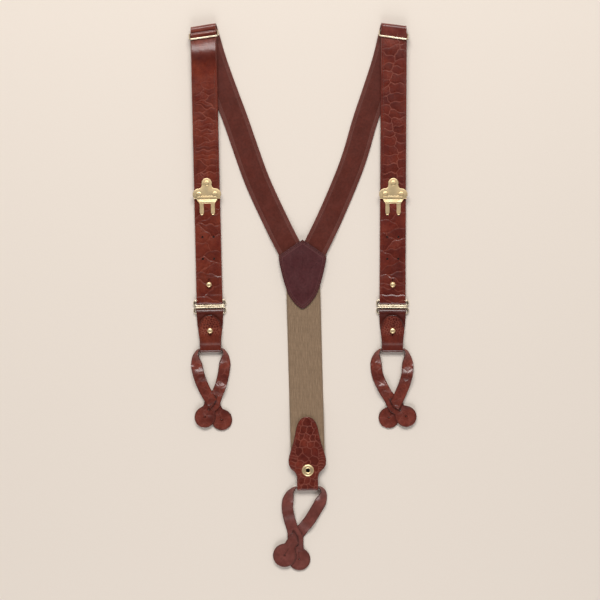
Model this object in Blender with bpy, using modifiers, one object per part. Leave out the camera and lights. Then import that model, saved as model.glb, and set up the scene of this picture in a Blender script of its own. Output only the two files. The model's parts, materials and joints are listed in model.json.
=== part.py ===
"""A pair of leather braces laid out flat, with every separate piece as its own solid.

The front straps lie croc side up and fold over at the shoulders into two arms, which run lining
side up to a yoke. An elastic web, a rear tab and a rear button strap hang from the yoke. Each
front strap is two layers: the shoulder strap, which ends in a riveted hook plate with two prongs,
and under it a strap with paired holes, a keeper loop at its top, and a double wire loop, a folded
tab and a button strap at its bottom.

Frame: metres, +Z up, +Y towards the shoulders, +X to the right as the braces lie. The origin is
on the floor under the middle of the box that holds the braces.
"""
import math

import bmesh
import bpy
from mathutils import Matrix, Vector

MM = 0.001
GAP = 0.3 * MM                       # clearance between pieces that touch

# Straps: a channel of croc leather with turned edges, and a lining laid into it.
STRAP_THICK = 1.8 * MM
STRAP_WALL = 0.9 * MM                # leather under the lining
TURNED_EDGE = 4.7 * MM
LINING_THICK = 0.5 * MM
SHOULDER_WIDTH = 27.5 * MM
HOLE_STRAP_WIDTH = 28.6 * MM
SKIVED = 0.9 * MM                    # leather pared thin where it folds round a wire
LAYER_GAP = 0.8 * MM                 # air between the two layers of a front strap

# Front straps: a plane that falls gently from the shoulder fold to the double loop.
FRONT_LIFT = 1.15 * MM               # underside of the hole strap above the floor at Y = 0
FRONT_SLOPE = math.radians(0.522)
FRONT_RUN_END = 109.0 * MM           # where the shoulder strap ends under its plate
KEEPER_Y = 290.5 * MM                # keeper's rear bar
KEEPER_RISE = 0.5 * MM               # that bar's height over the hole strap's underside
KEEPER_SKIVED = 0.6 * MM             # hole strap where it folds round that bar
KEEPER_CORNER = 1.4 * MM
KEEPER_WIRE = 1.6 * MM
KEEPER_WIDTH = 31.2 * MM             # between wire centres
KEEPER_REACH = 6.5 * MM              # front bar in front of the rear bar
HOLE_PITCH = 24.0 * MM
HOLE_SPREAD = 12.2 * MM
HOLE_RADIUS = 1.6 * MM
ENGAGED_Y = 89.9 * MM                # the pair that the prongs sit in
HOLES_BELOW = 2
HOLES_ABOVE = 6

# Hook plate.
PLATE_THICK = 0.8 * MM
PLATE_TOP = (0.0, 124.7 * MM, 5.6 * MM)            # across, along, radius of the top lobe
PLATE_SIDE = (9.3 * MM, 112.6 * MM, 6.2 * MM)      # and of each side lobe
RIVETS = ((0.0, 124.7 * MM), (-8.7 * MM, 112.6 * MM), (8.7 * MM, 112.6 * MM))
RIVET_HEAD = 2.6 * MM
RIVET_SHANK = 1.0 * MM
PRONG_WIDTH = 4.6 * MM

# Double loop: two rings of wire, side by side, joined by two short bridges.
LOOP_WIRE = 1.7 * MM
LOOP_WIDTH = 34.2 * MM               # between wire centres
LOOP_Z = 2.1 * MM
LOOP_RINGS = ((-3.6 * MM, -9.2 * MM), (-11.3 * MM, -18.0 * MM))
STUD_UPPER_Y = 13.5 * MM
STUD_LOWER_Y = -37.0 * MM

# Folded tabs and button straps.
TAB_LEATHER = 1.2 * MM
BUTTON_LEATHER = 1.5 * MM
BUTTON_LEG = 10.5 * MM
BUTTONHOLE_RADIUS = 2.2 * MM
BUTTONHOLE_SLIT = 8.0 * MM
EYE_RADIUS = 1.75 * MM               # inside of the eye in which a button strap turns
EYE_MID = EYE_RADIUS + TAB_LEATHER / 2
EYE_Y = -57.55 * MM                  # its axis in a front strap's frame
REAR_EYE_Y = -27.05 * MM             # and in the rear tab's frame
EYE_Z = TAB_LEATHER + EYE_RADIUS
EYE_STRIP = 2.2 * MM                 # width of the button strap where it is rolled in the eye

# Back.
DRAWN_CENTRE = Vector((2.2 * MM, 0.3 * MM, 0.0))   # middle of the laid out braces as drawn below
YOKE_CENTRE = 2.2 * MM
YOKE_OUTER_THICK = 1.2 * MM
YOKE_INNER_THICK = 1.0 * MM
YOKE_RAISE = 1.5 * MM                # arms and elastic over the floor, between the yoke's patches
ELASTIC_WIDTH = 37.4 * MM
ELASTIC_THICK = 1.5 * MM
ELASTIC_LEAN = math.radians(1.55)
REAR_LIFT = 0.9 * MM                 # rear tab over the floor, on its eyelet's washer
REAR_GAP = 2.4 * MM                  # between the rear tab's two leaves
EYELET = (8.1 * MM, -190.0 * MM)

# Each side in millimetres: its front strap's middle at Y = 0 and turn, the turn of its keeper on
# that strap, its arm's middle line and trimmed end, and its button strap's legs in the front
# strap's own level frame.
SIDES = {
    "left": {
        "centre": -100.0 * MM,
        "yaw": math.radians(1.3),
        "keeper_skew": math.radians(6.7),
        "arm": ((-92.4, 251.9), (-71.0, 193.6), (-62.6, 169.4), (-46.9, 126.0), (-25.1, 78.9),
                (-11.5, 53.5)),
        "arm_end": ((1.4, 54.5), (-17.5, 36.5)),
        "fold_from": (-104.9, 293.2),
        "legs": (((-14.6, -59.6), (-16.3, -65.0), (-15.9, -73.0), (-13.4, -85.7), (-8.6, -99.4),
                  (-2.0, -112.0), (4.7, -123.7), (10.4, -135.3)),
                 ((14.4, -59.6), (15.9, -65.0), (15.4, -72.5), (13.6, -84.5), (9.8, -98.3),
                  (4.0, -110.6), (-2.4, -121.5), (-7.9, -131.9))),
    },
    "right": {
        "centre": 101.1 * MM,
        "yaw": math.radians(-0.26),
        "keeper_skew": math.radians(-7.7),
        "arm": ((91.3, 255.2), (71.0, 193.6), (61.8, 161.7), (51.7, 132.8), (32.3, 87.2),
                (16.4, 56.2)),
        "arm_end": ((3.0, 56.0), (22.0, 37.0)),
        "fold_from": (101.2, 295.2),
        "legs": (((14.9, -59.4), (16.4, -64.5), (16.9, -71.5), (16.4, -84.0), (12.5, -98.0),
                  (7.0, -111.0), (1.1, -122.5), (-3.3, -132.8)),
                 ((-14.8, -59.6), (-17.2, -65.0), (-17.8, -73.0), (-16.0, -86.0), (-10.1, -99.5),
                  (-2.1, -112.0), (6.8, -122.5), (15.5, -131.2))),
    },
}
# The legs of the rear button strap, in the rear tab's frame.
REAR_LEGS = (((-15.5, -28.6), (-19.8, -35.0), (-22.4, -47.5), (-20.0, -62.8), (-15.4, -77.8),
              (-11.7, -91.8), (-10.0, -106.2)),
             ((15.2, -28.8), (17.0, -33.0), (15.6, -39.5), (10.8, -48.8), (2.8, -61.6), (-7.8, -75.0),
              (-18.0, -87.8), (-26.1, -101.4)))

LEATHERS = {
    "croc": ((0.153, 0.036, 0.024, 1.0), 0.32, 0.0),
    "lining": ((0.110, 0.032, 0.026, 1.0), 0.45, 0.0),
    "yoke": ((0.090, 0.030, 0.032, 1.0), 0.42, 0.0),
    "elastic": ((0.270, 0.190, 0.120, 1.0), 0.85, 0.0),
    "brass": ((0.620, 0.420, 0.170, 1.0), 0.25, 1.0),
    "wire": ((0.700, 0.600, 0.420, 1.0), 0.20, 1.0),
}


# ---------------------------------------------------------------- scene and materials

for old in list(bpy.data.objects):
    bpy.data.objects.remove(old, do_unlink=True)

braces = bpy.data.collections.new("suspenders")
cutters = bpy.data.collections.new("cutters")
bpy.context.scene.collection.children.link(braces)
bpy.context.scene.collection.children.link(cutters)


def material(node, finish):
    """A piece's own Principled material."""
    colour, roughness, metallic = LEATHERS[finish]
    made = bpy.data.materials.new(node)
    made.use_nodes = True
    shader = made.node_tree.nodes["Principled BSDF"]
    shader.inputs["Base Color"].default_value = colour
    shader.inputs["Roughness"].default_value = roughness
    shader.inputs["Metallic"].default_value = metallic
    return made


# Everything hangs from one empty, which brings the middle of the drawing to the origin.
origin = bpy.data.objects.new("suspenders_origin", None)
braces.objects.link(origin)
origin.location = -DRAWN_CENTRE
origin["at"] = (0.0, 0.0, 0.0)


def hang(made, parent):
    """Parent an object drawn in the drawing's frame to a joint's empty, or to the origin."""
    made.parent = parent or origin
    made.matrix_parent_inverse = Matrix.Translation(-Vector(made.parent["at"]))


def joint_empty(name, at, parent=None):
    """An empty on a joint's axis, which its moving pieces are parented to."""
    empty = bpy.data.objects.new(name, None)
    empty.empty_display_size = 0.01
    braces.objects.link(empty)
    empty.location = at
    empty["at"] = tuple(at)
    hang(empty, parent)
    return empty


def piece(name, mesh, finish, parent=None):
    """Put a mesh in the collection as a named piece with its own material."""
    made = bpy.data.objects.new(name, mesh)
    braces.objects.link(made)
    mesh.materials.append(material(name, finish))
    hang(made, parent)
    return made


# ---------------------------------------------------------------- curves and frames

def smooth_line(points, step):
    """Points about a step apart on a Catmull-Rom curve through the given points."""
    points = [Vector(p) for p in points]
    guide = [2 * points[0] - points[1]] + points + [2 * points[-1] - points[-2]]
    line = []
    for a, b, c, d in zip(guide, guide[1:], guide[2:], guide[3:]):
        count = max(1, round((c - b).length / step))
        for k in range(count):
            t = k / count
            line.append(0.5 * (2 * b + (c - a) * t + (2 * a - 5 * b + 4 * c - d) * t ** 2
                               + (3 * b - a - 3 * c + d) * t ** 3))
    line.append(points[-1])
    return line


def bend(centre, reach, rise, start, stop, count):
    """Points on an ellipse in an (along, height) plane, angles in degrees."""
    turn = [math.radians(start + (stop - start) * k / count) for k in range(count + 1)]
    return [(centre[0] + reach * math.cos(t), centre[1] + rise * math.sin(t)) for t in turn]


def table(value, rows):
    """A value read from rows of (key, value), straight between them and flat outside them."""
    rows = sorted(rows)
    if value <= rows[0][0]:
        return rows[0][1]
    for (x0, y0), (x1, y1) in zip(rows, rows[1:]):
        if value <= x1:
            return y0 + (y1 - y0) * (value - x0) / (x1 - x0)
    return rows[-1][1]


def front_frame(side, slope=FRONT_SLOPE, lift=FRONT_LIFT):
    """A front strap's frame: X across it, Y up along it, Z off its underside."""
    data = SIDES[side]
    return (Matrix.Translation((data["centre"], 0.0, lift))
            @ Matrix.Rotation(data["yaw"], 4, "Z") @ Matrix.Rotation(slope, 4, "X"))


# ---------------------------------------------------------------- solids

def flat_section(width, thick):
    """Corners of a plain strip, as (across, normal)."""
    return [(-width / 2, -thick / 2), (width / 2, -thick / 2),
            (width / 2, thick / 2), (-width / 2, thick / 2)]


def channel_section(width, thick, wall, opens):
    """Corners of a strip with two turned edges; it opens towards its normal times opens."""
    inner = width / 2 - TURNED_EDGE
    low = -thick / 2
    floor = min(low + wall, thick / 2 - 0.02 * MM)
    corners = [(-width / 2, low), (width / 2, low), (width / 2, thick / 2), (inner, thick / 2),
               (inner, floor), (-inner, floor), (-inner, thick / 2), (-width / 2, thick / 2)]
    return [(u, v * opens) for u, v in corners]


def loft(stations):
    """A closed mesh through stations of (centre, across, normal, corners)."""
    bm = bmesh.new()
    rings = []
    for centre, across, normal, corners in stations:
        rings.append([bm.verts.new(centre + across * u + normal * v) for u, v in corners])
    count = len(rings[0])
    for ring, following in zip(rings, rings[1:]):
        for k in range(count):
            j = (k + 1) % count
            bm.faces.new((ring[k], ring[j], following[j], following[k]))
    bm.faces.new(rings[0])
    bm.faces.new(rings[-1])
    bmesh.ops.recalc_face_normals(bm, faces=bm.faces)
    mesh = bpy.data.meshes.new("loft")
    bm.to_mesh(mesh)
    bm.free()
    return mesh


def tangents(points):
    """Unit tangents of a line of points."""
    last = len(points) - 1
    return [(points[min(k + 1, last)] - points[max(k - 1, 0)]).normalized() for k in range(last + 1)]


def folded_strip(frame, path, section, skew=lambda along: 0.0):
    """A strip that folds in a frame's YZ plane; section(k, along) gives each station's corners, and
    skew(along) how far a station leans along the strip per distance across it."""
    points = [Vector((0.0, along, height)) for along, height in path]
    stations = []
    for k, (point, tangent) in enumerate(zip(points, tangents(points))):
        across = frame.to_3x3() @ Vector((1.0, skew(point.y), 0.0))
        normal = frame.to_3x3() @ Vector((0.0, -tangent.z, tangent.y))
        stations.append((frame @ point, across, normal, section(k, point.y)))
    return loft(stations)


def flat_ribbon(points, widths, heights, thick):
    """A strip that lies flat and curves in plan; heights are of its middle."""
    stations = []
    for point, tangent, width, height in zip(points, tangents(points), widths, heights):
        across = Vector((tangent.y, -tangent.x, 0.0))
        centre = Vector((point.x, point.y, height))
        stations.append((centre, across, Vector((0.0, 0.0, 1.0)), flat_section(width, thick)))
    return loft(stations)


def outline_plate(points, thick, frame):
    """A flat plate from its outline; the frame's XY plane is the plate's underside."""
    curve = bpy.data.curves.new("outline", "CURVE")
    curve.dimensions = "2D"
    curve.fill_mode = "BOTH"
    curve.extrude = thick / 2
    spline = curve.splines.new("POLY")
    spline.points.add(len(points) - 1)
    for target, (x, y) in zip(spline.points, points):
        target.co = (x, y, 0.0, 1.0)
    spline.use_cyclic_u = True
    return curve_to_mesh(curve, frame @ Matrix.Translation((0.0, 0.0, thick / 2)))


def curve_to_mesh(curve, placed):
    """Turn a curve into a welded mesh in world space."""
    holder = bpy.data.objects.new("holder", curve)
    bpy.context.scene.collection.objects.link(holder)
    bpy.context.view_layer.update()
    evaluated = holder.evaluated_get(bpy.context.evaluated_depsgraph_get())
    mesh = bpy.data.meshes.new_from_object(evaluated)
    bm = bmesh.new()
    bm.from_mesh(mesh)
    bmesh.ops.remove_doubles(bm, verts=bm.verts, dist=0.001 * MM)
    bmesh.ops.transform(bm, matrix=placed, verts=bm.verts)
    bmesh.ops.recalc_face_normals(bm, faces=bm.faces)
    bm.to_mesh(mesh)
    bm.free()
    bpy.data.objects.remove(holder, do_unlink=True)
    return mesh


def wire_ring(width, height, corner, wire, placed, turn):
    """A closed ring of round wire about a frame's origin in its XY plane. Sizes are between wire
    middles, and each corner bends in turn steps."""
    points = []
    for sx, sy, start in ((1, 1, 0), (-1, 1, 90), (-1, -1, 180), (1, -1, 270)):
        for k in range(turn + 1):
            t = math.radians(start + 90 * k / turn)
            points.append((sx * (width / 2 - corner) + corner * math.cos(t),
                           sy * (height / 2 - corner) + corner * math.sin(t)))
    points = [p for k, p in enumerate(points) if math.dist(p, points[k - 1]) > 0.1 * MM]
    curve = bpy.data.curves.new("ring", "CURVE")
    curve.dimensions = "3D"
    curve.bevel_depth = wire / 2
    curve.bevel_resolution = 2
    spline = curve.splines.new("POLY")
    spline.points.add(len(points) - 1)
    for target, (x, y) in zip(spline.points, points):
        target.co = (x, y, 0.0, 1.0)
    spline.use_cyclic_u = True
    return curve_to_mesh(curve, placed)


def turned(profile, placed, steps=16):
    """A turned solid: a profile of (radius, height), top to bottom, spun about its axis."""
    mesh = bpy.data.meshes.new("turned")
    closed = profile[0][0] > 0
    edges = [(k, k + 1) for k in range(len(profile) - 1)]
    if closed:
        edges.append((len(profile) - 1, 0))
    mesh.from_pydata([(r, 0.0, z) for r, z in profile], edges, [])
    holder = bpy.data.objects.new("holder", mesh)
    bpy.context.scene.collection.objects.link(holder)
    spin = holder.modifiers.new("spin", "SCREW")
    spin.steps = steps
    spin.render_steps = steps
    spin.use_merge_vertices = True
    spin.merge_threshold = 0.01 * MM
    bpy.context.view_layer.update()
    evaluated = holder.evaluated_get(bpy.context.evaluated_depsgraph_get())
    spun = bpy.data.meshes.new_from_object(evaluated)
    bpy.data.objects.remove(holder, do_unlink=True)
    spun.transform(placed)
    bm = bmesh.new()
    bm.from_mesh(spun)
    bmesh.ops.recalc_face_normals(bm, faces=bm.faces)
    bm.to_mesh(spun)
    bm.free()
    return spun


def pegs(name, places, radius, low, high, frame, slot=None, segments=8):
    """A cutter of upright round pegs, each with a slot when slot is (length along, width)."""
    bm = bmesh.new()
    for across, along in places:
        at = frame @ Matrix.Translation((across, along, (low + high) / 2))
        bmesh.ops.create_cone(bm, cap_ends=True, segments=segments, radius1=radius, radius2=radius,
                              depth=high - low, matrix=at)
    mesh = bpy.data.meshes.new(name)
    bm.to_mesh(mesh)
    bm.free()
    cutter = cutter_object(name, mesh)
    if slot is None:
        return [cutter]
    return [cutter] + [slot_cutter(f"{name}_slot_{k}", place, slot, low, high, frame)
                       for k, place in enumerate(places)]


def slot_cutter(name, place, slot, low, high, frame):
    """A cutter for the slit that runs from a hole; slot is (dx, dy, width)."""
    dx, dy, width = slot
    along = Vector((dx, dy, 0.0))
    middle = Vector((place[0], place[1], (low + high) / 2)) + along / 2
    turn = Matrix.Rotation(math.atan2(dy, dx), 4, "Z")
    size = Matrix.Diagonal((along.length, width, high - low, 1.0))
    bm = bmesh.new()
    bmesh.ops.create_cube(bm, size=1.0, matrix=frame @ Matrix.Translation(middle) @ turn @ size)
    mesh = bpy.data.meshes.new(name)
    bm.to_mesh(mesh)
    bm.free()
    return cutter_object(name, mesh)


def cutter_object(name, mesh):
    """A guide that only cuts or joins: drawn as wire, never rendered."""
    made = bpy.data.objects.new(name, mesh)
    cutters.objects.link(made)
    made.hide_render = True
    made.display_type = "WIRE"
    hang(made, None)
    return made


def boolean(target, tools, operation):
    """Cut a piece by guides, or join them to it."""
    for k, tool in enumerate(tools):
        step = target.modifiers.new(f"{operation.lower()}_{k}", "BOOLEAN")
        step.operation = operation
        step.solver = "EXACT"
        step.object = tool


# ---------------------------------------------------------------- shoulder straps

def fold_geometry(side):
    """Where the shoulder strap folds: axis, crossing angle, radius and its two ends."""
    data = SIDES[side]
    frame = front_frame(side)
    down = frame.to_3x3() @ Vector((0.0, -1.0, 0.0))
    down = Vector((down.x, down.y, 0.0)).normalized()
    start = Vector((*data["arm"][0], 0.0)) * MM
    up = (Vector((*data["fold_from"], 0.0)) * MM - start).normalized()
    axis = (up + down).normalized()
    if axis.x < 0:
        axis = -axis
    ahead = Vector((-axis.y, axis.x, 0.0))
    slant = up.dot(axis) / up.dot(ahead)
    front_mid = STRAP_THICK * 1.5 + LAYER_GAP
    top = (frame @ Vector((0.0, 293.0 * MM, front_mid))).z
    radius = (top - STRAP_THICK / 2) / 2
    advance = axis * (math.pi * radius * slant)
    centre = Vector((data["centre"], 0.0, 0.0))
    # The arm's line and the front strap's line meet the fold's two ends.
    offset = centre - start - advance
    cross = up.x * down.y - up.y * down.x
    along = (offset.x * down.y - offset.y * down.x) / cross
    first = start + up * along
    return {"axis": axis, "ahead": ahead, "slant": slant, "radius": radius, "up": up,
            "first": Vector((first.x, first.y, STRAP_THICK / 2)),
            "last": Vector(((first + advance).x, (first + advance).y, top))}


def fold_stations(fold, count=10):
    """Stations round the shoulder fold, each along its axis, from the arm to the front run."""
    corners = flat_section(slant_width(fold), STRAP_THICK)
    stations = []
    lift = Vector((0.0, 0.0, 1.0))
    for k in range(count + 1):
        turn = math.pi * k / count
        centre = (fold["first"] + fold["axis"] * (fold["radius"] * turn * fold["slant"])
                  + fold["ahead"] * (fold["radius"] * math.sin(turn))
                  + lift * (fold["radius"] * (1 - math.cos(turn))))
        inward = lift * math.cos(turn) - fold["ahead"] * math.sin(turn)
        stations.append((centre, fold["axis"], inward, corners))
    return stations


def slant_width(fold):
    """Width of the shoulder strap along the fold, which crosses it at a slant."""
    return SHOULDER_WIDTH * math.hypot(1.0, fold["slant"])


def arm_line(side, fold):
    """Stations of an arm's middle line: point, across and half-width across, from fold to yoke."""
    data = SIDES[side]
    inner, outer = (Vector((*p, 0.0)) * MM for p in data["arm_end"])
    first = Vector((fold["first"].x, fold["first"].y, 0.0)) - fold["up"] * GAP
    guide = [first] + [Vector((*p, 0.0)) * MM for p in data["arm"]]
    line = smooth_line([tuple(p) for p in guide], 24 * MM)
    rows = [(line[0], -fold["axis"], slant_width(fold))]
    for point, tangent in list(zip(line, tangents(line)))[1:]:
        rows.append((point, Vector((tangent.y, -tangent.x, 0.0)), SHOULDER_WIDTH))
    # The end is trimmed along the middle of the yoke, clear of the other arm.
    skew = outer - inner if rows[-1][1].dot(outer - inner) > 0 else inner - outer
    rows.append(((inner + outer) / 2, skew.normalized(), skew.length))
    return rows


def arm_height(y):
    """Underside of the arms over the floor: flat, then up onto the yoke's outer patch."""
    return table(y, ((66 * MM, YOKE_RAISE), (92 * MM, 0.0)))


def make_arm(side, fold):
    """The back run of a shoulder strap, lining side up, and its lining."""
    rows = arm_line(side, fold)
    up = Vector((0.0, 0.0, 1.0))
    outer = []
    lining = []
    for point, across, width in rows:
        base = Vector((point.x, point.y, arm_height(point.y)))
        corners = channel_section(width, STRAP_THICK, STRAP_WALL, 1)
        outer.append((base + up * (STRAP_THICK / 2), across, up, corners))
        inner = width - 2 * (TURNED_EDGE + GAP)
        middle = STRAP_WALL + GAP + LINING_THICK / 2
        lining.append((base + up * middle, across, up, flat_section(inner, LINING_THICK)))
    piece(f"{side}_arm", loft(outer), "lining")
    piece(f"{side}_arm_lining", loft(lining), "lining")


def make_shoulder_fold(side, fold):
    """The stretch of shoulder strap that bends over the shoulder."""
    piece(f"{side}_shoulder_fold", loft(fold_stations(fold)), "croc")


def make_front_run(side, fold, parent):
    """The front run of a shoulder strap, croc side up, its lining and its hook plate."""
    frame = front_frame(side)
    top = (frame.inverted() @ fold["last"]).y - GAP
    low = STRAP_THICK + LAYER_GAP
    path = [(top - (top - FRONT_RUN_END) * k / 8, low + STRAP_THICK / 2) for k in range(9)]
    across = frame.to_3x3() @ Vector((1.0, 0.0, 0.0))
    normal = frame.to_3x3() @ Vector((0.0, 0.0, 1.0))
    stations = []
    for number, (along, height) in enumerate(path):
        wide = SHOULDER_WIDTH if number else slant_width(fold)
        corners = channel_section(wide, STRAP_THICK, STRAP_WALL, 1)
        point = frame @ Vector((0.0, along, height))
        stations.append((point, across if number else fold["axis"], -normal, corners))
    outer = piece(f"{side}_front_run", loft(stations), "croc", parent)
    middle = low + STRAP_WALL - GAP - LINING_THICK / 2
    inner = flat_section(SHOULDER_WIDTH - 2 * (TURNED_EDGE + GAP), LINING_THICK)
    line = [(top - 4 * MM, middle), (FRONT_RUN_END + 1 * MM, middle)]
    lining = piece(f"{side}_front_run_lining", folded_strip(frame, line, lambda k, y: inner),
                   "lining", parent)
    holes = pegs(f"{side}_rivet_holes", RIVETS, RIVET_SHANK + GAP, low - 1 * MM, low + 4 * MM, frame)
    boolean(outer, holes, "DIFFERENCE")
    boolean(lining, holes, "DIFFERENCE")
    make_hook_plate(side, frame, low + STRAP_THICK + GAP, parent, holes)
    for name, (across, along) in zip(("top", "inner", "outer"), RIVETS):
        at = frame @ Matrix.Translation((across, along, low))
        length = STRAP_THICK + GAP + PLATE_THICK
        profile = [(0.0, length + 1.6 * MM), (1.3 * MM, length + 1.4 * MM),
                   (2.2 * MM, length + 0.9 * MM), (RIVET_HEAD, length + GAP),
                   (RIVET_SHANK, length + GAP), (RIVET_SHANK, 0.05 * MM), (0.0, 0.05 * MM)]
        piece(f"{side}_plate_rivet_{name}", turned(profile, at), "brass", parent)


def plate_outline():
    """Outline of the hook plate: three lobes and a straight lower edge."""
    x, y, r = PLATE_TOP
    half = [(x + r * math.cos(math.radians(a)), y + r * math.sin(math.radians(a)))
            for a in (90, 72, 54, 36, 18, 0, -18)]
    half += [(5.9 * MM, 121.0 * MM), (7.0 * MM, 119.6 * MM), (8.6 * MM, 118.95 * MM)]
    x, y, r = PLATE_SIDE
    half += [(x + r * math.cos(math.radians(a)), y + r * math.sin(math.radians(a)))
             for a in (78, 58, 38, 18, -2, -22, -42, -58)]
    return half + [(-px, py) for px, py in reversed(half[1:])]


def make_hook_plate(side, frame, low, parent, holes):
    """The stamped plate: a flat body, a lip bent down off the strap's end, and two prongs."""
    body = piece(f"{side}_hook_plate",
                 outline_plate(plate_outline(), PLATE_THICK, frame @ Matrix.Translation((0, 0, low))),
                 "brass", parent)
    middle = low + PLATE_THICK / 2
    rest = STRAP_THICK + GAP + PLATE_THICK / 2
    lip_path = [(110.2 * MM, middle), (108.2 * MM, middle), (106.6 * MM, middle - 0.5 * MM),
                (105.2 * MM, middle - 1.7 * MM), (103.8 * MM, rest + 0.3 * MM), (102.6 * MM, rest)]
    lip_widths = (22.6, 22.6, 22.2, 20.6, 18.2, 17.4)
    lip = folded_strip(frame, lip_path,
                       lambda k, y: flat_section(lip_widths[k] * MM, PLATE_THICK + 0.06 * MM))
    tools = [cutter_object(f"{side}_plate_lip", lip)]
    prong_path = [(104.0 * MM, rest + 0.25 * MM), (102.0 * MM, rest), (92.6 * MM, rest),
                  (91.2 * MM, rest - 0.02 * MM), (90.5 * MM, rest - 0.45 * MM),
                  (90.05 * MM, rest - 1.1 * MM), (89.95 * MM, STRAP_WALL - 0.2 * MM)]
    prong_widths = (PRONG_WIDTH / MM, PRONG_WIDTH / MM, PRONG_WIDTH / MM, 3.2, 2.2, 1.8, 1.6)
    for name, across in (("left", -HOLE_SPREAD / 2), ("right", HOLE_SPREAD / 2)):
        moved = frame @ Matrix.Translation((across, 0.0, 0.0))
        prong = folded_strip(moved, prong_path,
                             lambda k, y: flat_section(prong_widths[k] * MM, PLATE_THICK))
        tools.append(cutter_object(f"{side}_plate_prong_{name}", prong))
    boolean(body, tools, "UNION")
    bore = body.modifiers.new("rivet_holes", "BOOLEAN")
    bore.operation = "DIFFERENCE"
    bore.solver = "EXACT"
    bore.object = holes[0]


# ---------------------------------------------------------------- hole straps

def keeper_points():
    """The keeper's rear and front bars, as (along, height) in a front strap's frame."""
    front = 2 * STRAP_THICK + LAYER_GAP + GAP + KEEPER_WIRE / 2
    return (KEEPER_Y, KEEPER_RISE), (KEEPER_Y - KEEPER_REACH, front)


def hole_strap_path():
    """Middle line of the hole strap and its thickness, from its return leaf at the keeper down
    to its return leaf at the double loop."""
    rear, _ = keeper_points()
    turn = KEEPER_WIRE / 2 + GAP + KEEPER_SKIVED / 2
    top = [((278.5 * MM, -0.1 * MM), KEEPER_SKIVED),
           ((284.5 * MM, rear[1] - turn + 0.1 * MM), KEEPER_SKIVED)]
    top += [(p, KEEPER_SKIVED) for p in bend(rear, turn, turn, -90, 90, 6)]
    top += [((284.0 * MM, rear[1] + turn - 0.05 * MM), KEEPER_SKIVED),
            ((276.0 * MM, 1.3 * MM), 1.1 * MM), ((268.0 * MM, STRAP_THICK / 2), STRAP_THICK)]
    body = [((y * MM, STRAP_THICK / 2), STRAP_THICK) for y in (220, 170, 120, 70, 30)]
    bar = (LOOP_RINGS[0][0], LOOP_Z - FRONT_LIFT)
    turn = LOOP_WIRE / 2 + GAP + SKIVED / 2
    low = [((19.0 * MM, 1.75 * MM), 1.4 * MM), ((8.0 * MM, 1.8 * MM), 1.4 * MM),
           ((1.0 * MM, bar[1] + turn - 0.1 * MM), 1.0 * MM)]
    low += [(p, SKIVED) for p in bend(bar, 2.6 * MM, turn, 90, 270, 8)]
    low += [((4.0 * MM, bar[1] - turn - 0.05 * MM), SKIVED), ((24.0 * MM, -0.75 * MM), SKIVED)]
    rows = top + body + low
    return [p for p, _ in rows], [t for _, t in rows]


def make_hole_strap(side, parent):
    """The strap that the prongs hook into, its lining and the stud at its lower end."""
    frame = front_frame(side)
    path, thick = hole_strap_path()

    def section(k, along):
        body = thick[k] > 1.5 * MM
        width = HOLE_STRAP_WIDTH if body else HOLE_STRAP_WIDTH - 0.6 * MM
        wall = STRAP_WALL if body else thick[k]
        return channel_section(width, thick[k], wall, 1)

    skew = math.tan(SIDES[side]["keeper_skew"])
    strap = piece(f"{side}_hole_strap",
                  folded_strip(frame, path, section,
                               lambda y: table(y, ((262.0 * MM, 0.0), (276.0 * MM, skew)))),
                  "croc", parent)
    middle = STRAP_WALL - GAP - LINING_THICK / 2
    inner = flat_section(HOLE_STRAP_WIDTH - 2 * (TURNED_EDGE + GAP), LINING_THICK)
    line = [(262.0 * MM, middle), (36.0 * MM, middle)]
    lining = piece(f"{side}_hole_strap_lining", folded_strip(frame, line, lambda k, y: inner),
                   "lining", parent)
    rows = [ENGAGED_Y + HOLE_PITCH * k for k in range(-HOLES_BELOW, HOLES_ABOVE + 1)]
    places = [(sx * HOLE_SPREAD / 2, y) for y in rows for sx in (-1, 1)]
    holes = pegs(f"{side}_prong_holes", places, HOLE_RADIUS, -1 * MM, 3 * MM, frame)
    boolean(strap, holes, "DIFFERENCE")
    boolean(lining, holes, "DIFFERENCE")
    keyhole = pegs(f"{side}_upper_stud_hole", [(0.0, STUD_UPPER_Y)], 1.6 * MM, -3 * MM, 4 * MM, frame)
    slit = [slot_cutter(f"{side}_upper_stud_slit", (0.0, STUD_UPPER_Y), (0.0, 7.0 * MM, 0.9 * MM),
                        0.2 * MM, 5 * MM, frame)]
    boolean(strap, keyhole + slit, "DIFFERENCE")
    return frame


def make_stud(name, at, parent, leather):
    """A collar stud: screw, base disc, neck and ball head; leather is the height of its head."""
    profile = [(0.0, leather + 3.9 * MM), (1.3 * MM, leather + 3.65 * MM),
               (2.4 * MM, leather + 2.9 * MM), (3.0 * MM, leather + 1.9 * MM),
               (2.6 * MM, leather + 0.9 * MM), (1.2 * MM, leather + 0.3 * MM),
               (1.2 * MM, 1.9 * MM), (2.9 * MM, 1.9 * MM), (2.9 * MM, 1.25 * MM),
               (1.2 * MM, 1.25 * MM), (1.2 * MM, 0.1 * MM), (0.0, 0.1 * MM)]
    return piece(name, turned(profile, Matrix.Translation(at)), "brass", parent)


def keeper_turn(side):
    """The keeper's frame on the hole strap: its rear bar along X."""
    rear, _ = keeper_points()
    return (front_frame(side) @ Matrix.Translation((0.0, rear[0], rear[1]))
            @ Matrix.Rotation(SIDES[side]["keeper_skew"], 4, "Z"))


def make_keeper(side, parent):
    """The wire keeper, tilted forwards over the shoulder strap."""
    rear, front = keeper_points()
    tall = math.dist(rear, front)
    tilt = math.atan2(front[1] - rear[1], front[0] - rear[0])
    placed = (keeper_turn(side) @ Matrix.Rotation(tilt, 4, "X")
              @ Matrix.Translation((0.0, tall / 2, 0.0)))
    ring = wire_ring(KEEPER_WIDTH, tall, KEEPER_CORNER, KEEPER_WIRE, placed, 3)
    piece(f"{side}_keeper_loop", ring, "wire", parent)


# ---------------------------------------------------------------- loops, tabs and button straps

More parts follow.
